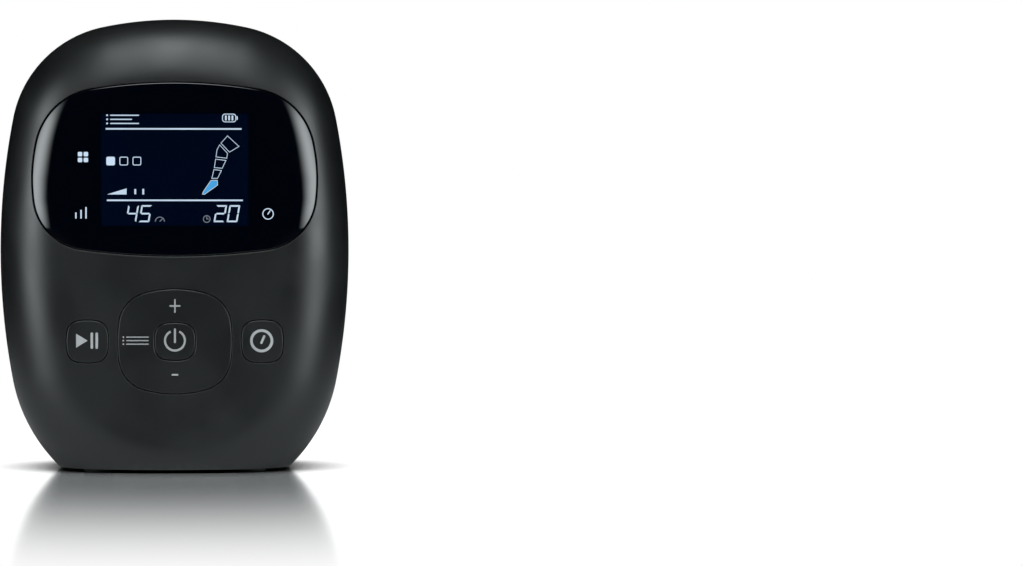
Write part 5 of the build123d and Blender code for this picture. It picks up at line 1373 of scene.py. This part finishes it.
def long_lens(distance, elevation):
    """The camera: level but for a small elevation, turned so that the pump stands left of the middle."""
    low, high = (Vector(corner) for corner in CAD_BOX)
    middle = (low + high) / 2
    rise = radians(elevation)
    back = Vector((0, -cos(rise), sin(rise)))
    lens_mm, sensor_mm = 200.0, 36.0
    focal = lens_mm / sensor_mm * PICTURE[0]
    # the pump's middle is seen this far from the picture's middle, in pixels to the right and up
    right, up = PUMP_AT[0] - PICTURE[0] / 2, PICTURE[1] / 2 - PUMP_AT[1]
    seen = Vector((right, up, -focal)).normalized()
    facing = (-back).to_track_quat("-Z", "Y")
    data = bpy.data.cameras.new("long_lens")
    data.lens, data.sensor_width = lens_mm, sensor_mm
    data.clip_start, data.clip_end = 0.05, 50.0
    camera = bpy.data.objects.new("long_lens", data)
    bpy.context.scene.collection.objects.link(camera)
    camera.rotation_mode = "QUATERNION"
    yaw = atan2(-seen.x, -seen.z)
    pitch = asin(seen.y)
    camera.rotation_quaternion = facing @ Quaternion((0, 1, 0), -yaw) @ Quaternion((1, 0, 0), -pitch)
    camera.location = middle + back * distance
    bpy.context.scene.camera = camera


# ---------------------------------------------------------------- what a user may change


def length_property(name, description, default, low, high, digits=5):
    """A length in metres that a user may change."""
    return FloatProperty(
        name=name, description=description, default=default, min=low, max=high,
        precision=digits, unit="LENGTH",
    )


class PUMP_PG_sizes(PropertyGroup):
    """Edge roundings of the visible pieces."""

    shell_edge: length_property(
        "Shell opening edge", "Rounding of the openings in the shells", 0.0003, 0.0001, 0.0008,
    )
    window_edge: length_property("Window edge", "Rounding of the window's rim", 0.00045, 0.0001, 0.0008)
    key_edge: length_property("Key edge", "Rounding of the keys' rims", 0.0004, 0.0001, 0.0009)
    socket_edge: length_property(
        "Socket edge", "Rounding of the outlets' and the jack's mouths", 0.0005, 0.0001, 0.0006,
    )
    foot_edge: length_property("Foot edge", "Rounding of the rubber feet's soles", 0.0007, 0.0002, 0.0012)


def colour_property(name, description, default):
    """A colour that a user may change."""
    return FloatVectorProperty(
        name=name, description=description, default=default, min=0, max=1, subtype="COLOR",
    )


class PUMP_PG_colours(PropertyGroup):
    """Colours of the visible pieces."""

    shell: colour_property("Shell", "Moulded plastic of the two covers", paint(11, 13, 14))
    key: colour_property("Keys", "Moulded plastic of the keys", paint(11, 13, 14))
    window: colour_property("Window", "Tinted window", paint(1, 3, 8))
    screen: colour_property("Screen", "Faint glow of the display's ground", paint(0, 5, 22))
    display_light: colour_property("Display light", "Lit signs of the display", paint(198, 218, 238))
    display_dim: colour_property("Display dim light", "Small unit signs of the display", paint(128, 134, 150))
    display_tint: colour_property("Display tint", "Lit chamber of the leg sign", paint(70, 160, 220))
    print_grey: colour_property("Print", "Printed signs on the keys", paint(153, 154, 155))
    rubber: colour_property("Rubber", "Feet", paint(22, 22, 23))
    socket: colour_property("Sockets", "Outlet plate and power jack", paint(18, 19, 20))


def share_property(name, description, default):
    """A share from 0 to 1 that a user may change."""
    return FloatProperty(
        name=name, description=description, default=default, min=0.0, max=1.0, subtype="FACTOR",
    )


def plain_property(name, description, default, high):
    """A plain number from 0 up that a user may change."""
    return FloatProperty(name=name, description=description, default=default, min=0.0, max=high)


class PUMP_PG_finish(PropertyGroup):
    """How strongly the shared effects show."""

    grain_depth: length_property("Grain depth", "Depth of the moulded grain", 0.000004, 0.0, 0.00003, 6)
    edge_wear: share_property("Edge wear", "Rubbing along edges", 0.35)
    dust: share_property("Dust", "Dust settled on top", 0.05)


class PUMP_PG_stage(PropertyGroup):
    """Camera, floor and light."""

    distance: length_property("Camera distance", "From the pump's middle", 2.477, 1.0, 6.0, 2)
    elevation: plain_property("Camera elevation", "Degrees above the horizon", 1.5, 30.0)
    floor: colour_property("Floor", "Pale floor", (0.74, 0.74, 0.74))
    side_light: plain_property("Side light", "Radiance of the two side lamps", 9.0, 20.0)
    top_light: plain_property("Top light", "Radiance of the lamp overhead", 7.8, 20.0)
    brow_light: plain_property("Brow light", "Radiance of the lamp before the top", 5.2, 20.0)
    ambient: plain_property("Ambient", "Even light from all round", 0.035, 2.0)
    screen: plain_property("White screen", "Radiance of what the floor reflects", 1.45, 3.0)


# ---------------------------------------------------------------- operators and panel


class PUMP_OT_effects(Operator):
    """Make the shared shader groups: grain, rubbed edges, dust, handling marks and drawn metal."""

    bl_idname = "pump.shared_effects"
    bl_label = "Shared effects"

    def execute(self, context):
        for make in (grain_group, wear_group, dust_group, handling_group, streak_group):
            make()
        return {"FINISHED"}


class PUMP_OT_shells(Operator):
    """Make the front and rear covers."""

    bl_idname = "pump.shells"
    bl_label = "Covers"

    def execute(self, context):
        scene = context.scene
        finish = scene.pump_finish
        look = moulded(
            "shell_satin", list(scene.pump_colours.shell), 0.4, 0.00035, finish.grain_depth,
            finish.edge_wear, finish.dust,
        )
        edge = scene.pump_sizes.shell_edge / MM
        front_shell(look, edge)
        rear_shell(look, edge)
        return {"FINISHED"}


class PUMP_OT_window(Operator):
    """Make the display window and everything that lights up in it."""

    bl_idname = "pump.display_window"
    bl_label = "Display window"

    def execute(self, context):
        colours = context.scene.pump_colours
        lens(window_finish(colours), context.scene.pump_sizes.window_edge / MM)
        shades = {"light": colours.display_light, "dim": colours.display_dim, "tint": colours.display_tint}
        lit = {name: light_ink(f"display_{name}", list(shade)) for name, shade in shades.items()}
        display_marks(lit)
        lens_marks(lit["light"])
        return {"FINISHED"}


class PUMP_OT_keys(Operator):
    """Make the rocking pad and the three keys with their printed signs."""

    bl_idname = "pump.keys"
    bl_label = "Keys"

    def execute(self, context):
        scene = context.scene
        finish = scene.pump_finish
        look = moulded(
            "key_satin", list(scene.pump_colours.key), 0.38, 0.0003, finish.grain_depth / 2,
            finish.edge_wear, finish.dust,
        )
        keys(look, scene.pump_sizes.key_edge / MM)
        key_marks(moulded("key_print", list(scene.pump_colours.print_grey), 0.45, 0.0002, 1e-6, 0.0, 0.0))
        return {"FINISHED"}


class PUMP_OT_sockets(Operator):
    """Make the rubber feet, the outlet plate and the power jack."""

    bl_idname = "pump.feet_and_sockets"
    bl_label = "Feet and sockets"

    def execute(self, context):
        scene = context.scene
        feet(soft_rubber("foot_rubber", list(scene.pump_colours.rubber)), scene.pump_sizes.foot_edge / MM)
        look = moulded("socket_plastic", list(scene.pump_colours.socket), 0.5, dust=scene.pump_finish.dust)
        edge = scene.pump_sizes.socket_edge / MM
        outlets(look, edge)
        jack(look, edge)
        return {"FINISHED"}


class PUMP_OT_inside(Operator):
    """Finish the inner pieces by their material slots, and copy the springs and the diaphragm as pieces of
    their own.
    """

    bl_idname = "pump.inner_pieces"
    bl_label = "Inner pieces"

    def execute(self, context):
        made = {slot: make() for slot, make in INSIDE.items()}
        for entry in frame["record"]["subparts"]:
            piece = frame["nodes"][entry["node"]]
            look = made.get(entry["material_slot"])
            if look is None:
                continue
            for place in piece.material_slots:
                place.material = look
        valve_springs(made["screw_steel"])
        pump_diaphragm(made["rubber"])
        return {"FINISHED"}


class PUMP_OT_stage(Operator):
    """Make the floor, the lamps, the surroundings and the camera."""

    bl_idname = "pump.stage"
    bl_label = "Stage"

    def execute(self, context):
        scene = context.scene
        stage = scene.pump_stage
        scene.view_settings.view_transform = "Standard"
        floor = pale_floor(stage.floor, WHITE_FROM_TO)
        white_surround(floor, stage.screen)
        surroundings(stage.ambient)
        strengths = {"side": stage.side_light, "top": stage.top_light, "brow": stage.brow_light}
        for name, place, aim, size, feather in LAMPS:
            softbox(f"{name}_lamp", place, aim, size, strengths[name], feather)
        long_lens(stage.distance, stage.elevation)
        return {"FINISHED"}


OPERATORS = (
    PUMP_OT_effects,
    PUMP_OT_shells,
    PUMP_OT_window,
    PUMP_OT_keys,
    PUMP_OT_sockets,
    PUMP_OT_inside,
    PUMP_OT_stage,
)
GROUPS = {
    "pump_sizes": PUMP_PG_sizes,
    "pump_colours": PUMP_PG_colours,
    "pump_finish": PUMP_PG_finish,
    "pump_stage": PUMP_PG_stage,
}


class PUMP_PT_panel(Panel):
    """Lists the steps and the values that they use."""

    bl_label = "Compression therapy pump"
    bl_idname = "PUMP_PT_panel"
    bl_space_type = "VIEW_3D"
    bl_region_type = "UI"
    bl_category = "Pump"

    def draw(self, context):
        for step in OPERATORS:
            self.layout.operator(step.bl_idname)
        for name in GROUPS:
            values = getattr(context.scene, name)
            box_layout = self.layout.box()
            for label in values.__annotations__:
                box_layout.prop(values, label)


def register():
    for made in (*GROUPS.values(), *OPERATORS, PUMP_PT_panel):
        bpy.utils.register_class(made)
    for name, group in GROUPS.items():
        setattr(bpy.types.Scene, name, PointerProperty(type=group))


def unregister():
    for name in GROUPS:
        delattr(bpy.types.Scene, name)
    for made in (PUMP_PT_panel, *reversed(OPERATORS), *GROUPS.values()):
        bpy.utils.unregister_class(made)


def main():
    register()
    for step in OPERATORS:
        family, name = step.bl_idname.split(".")
        getattr(getattr(bpy.ops, family), name)()


if __name__ == "__main__":
    main()
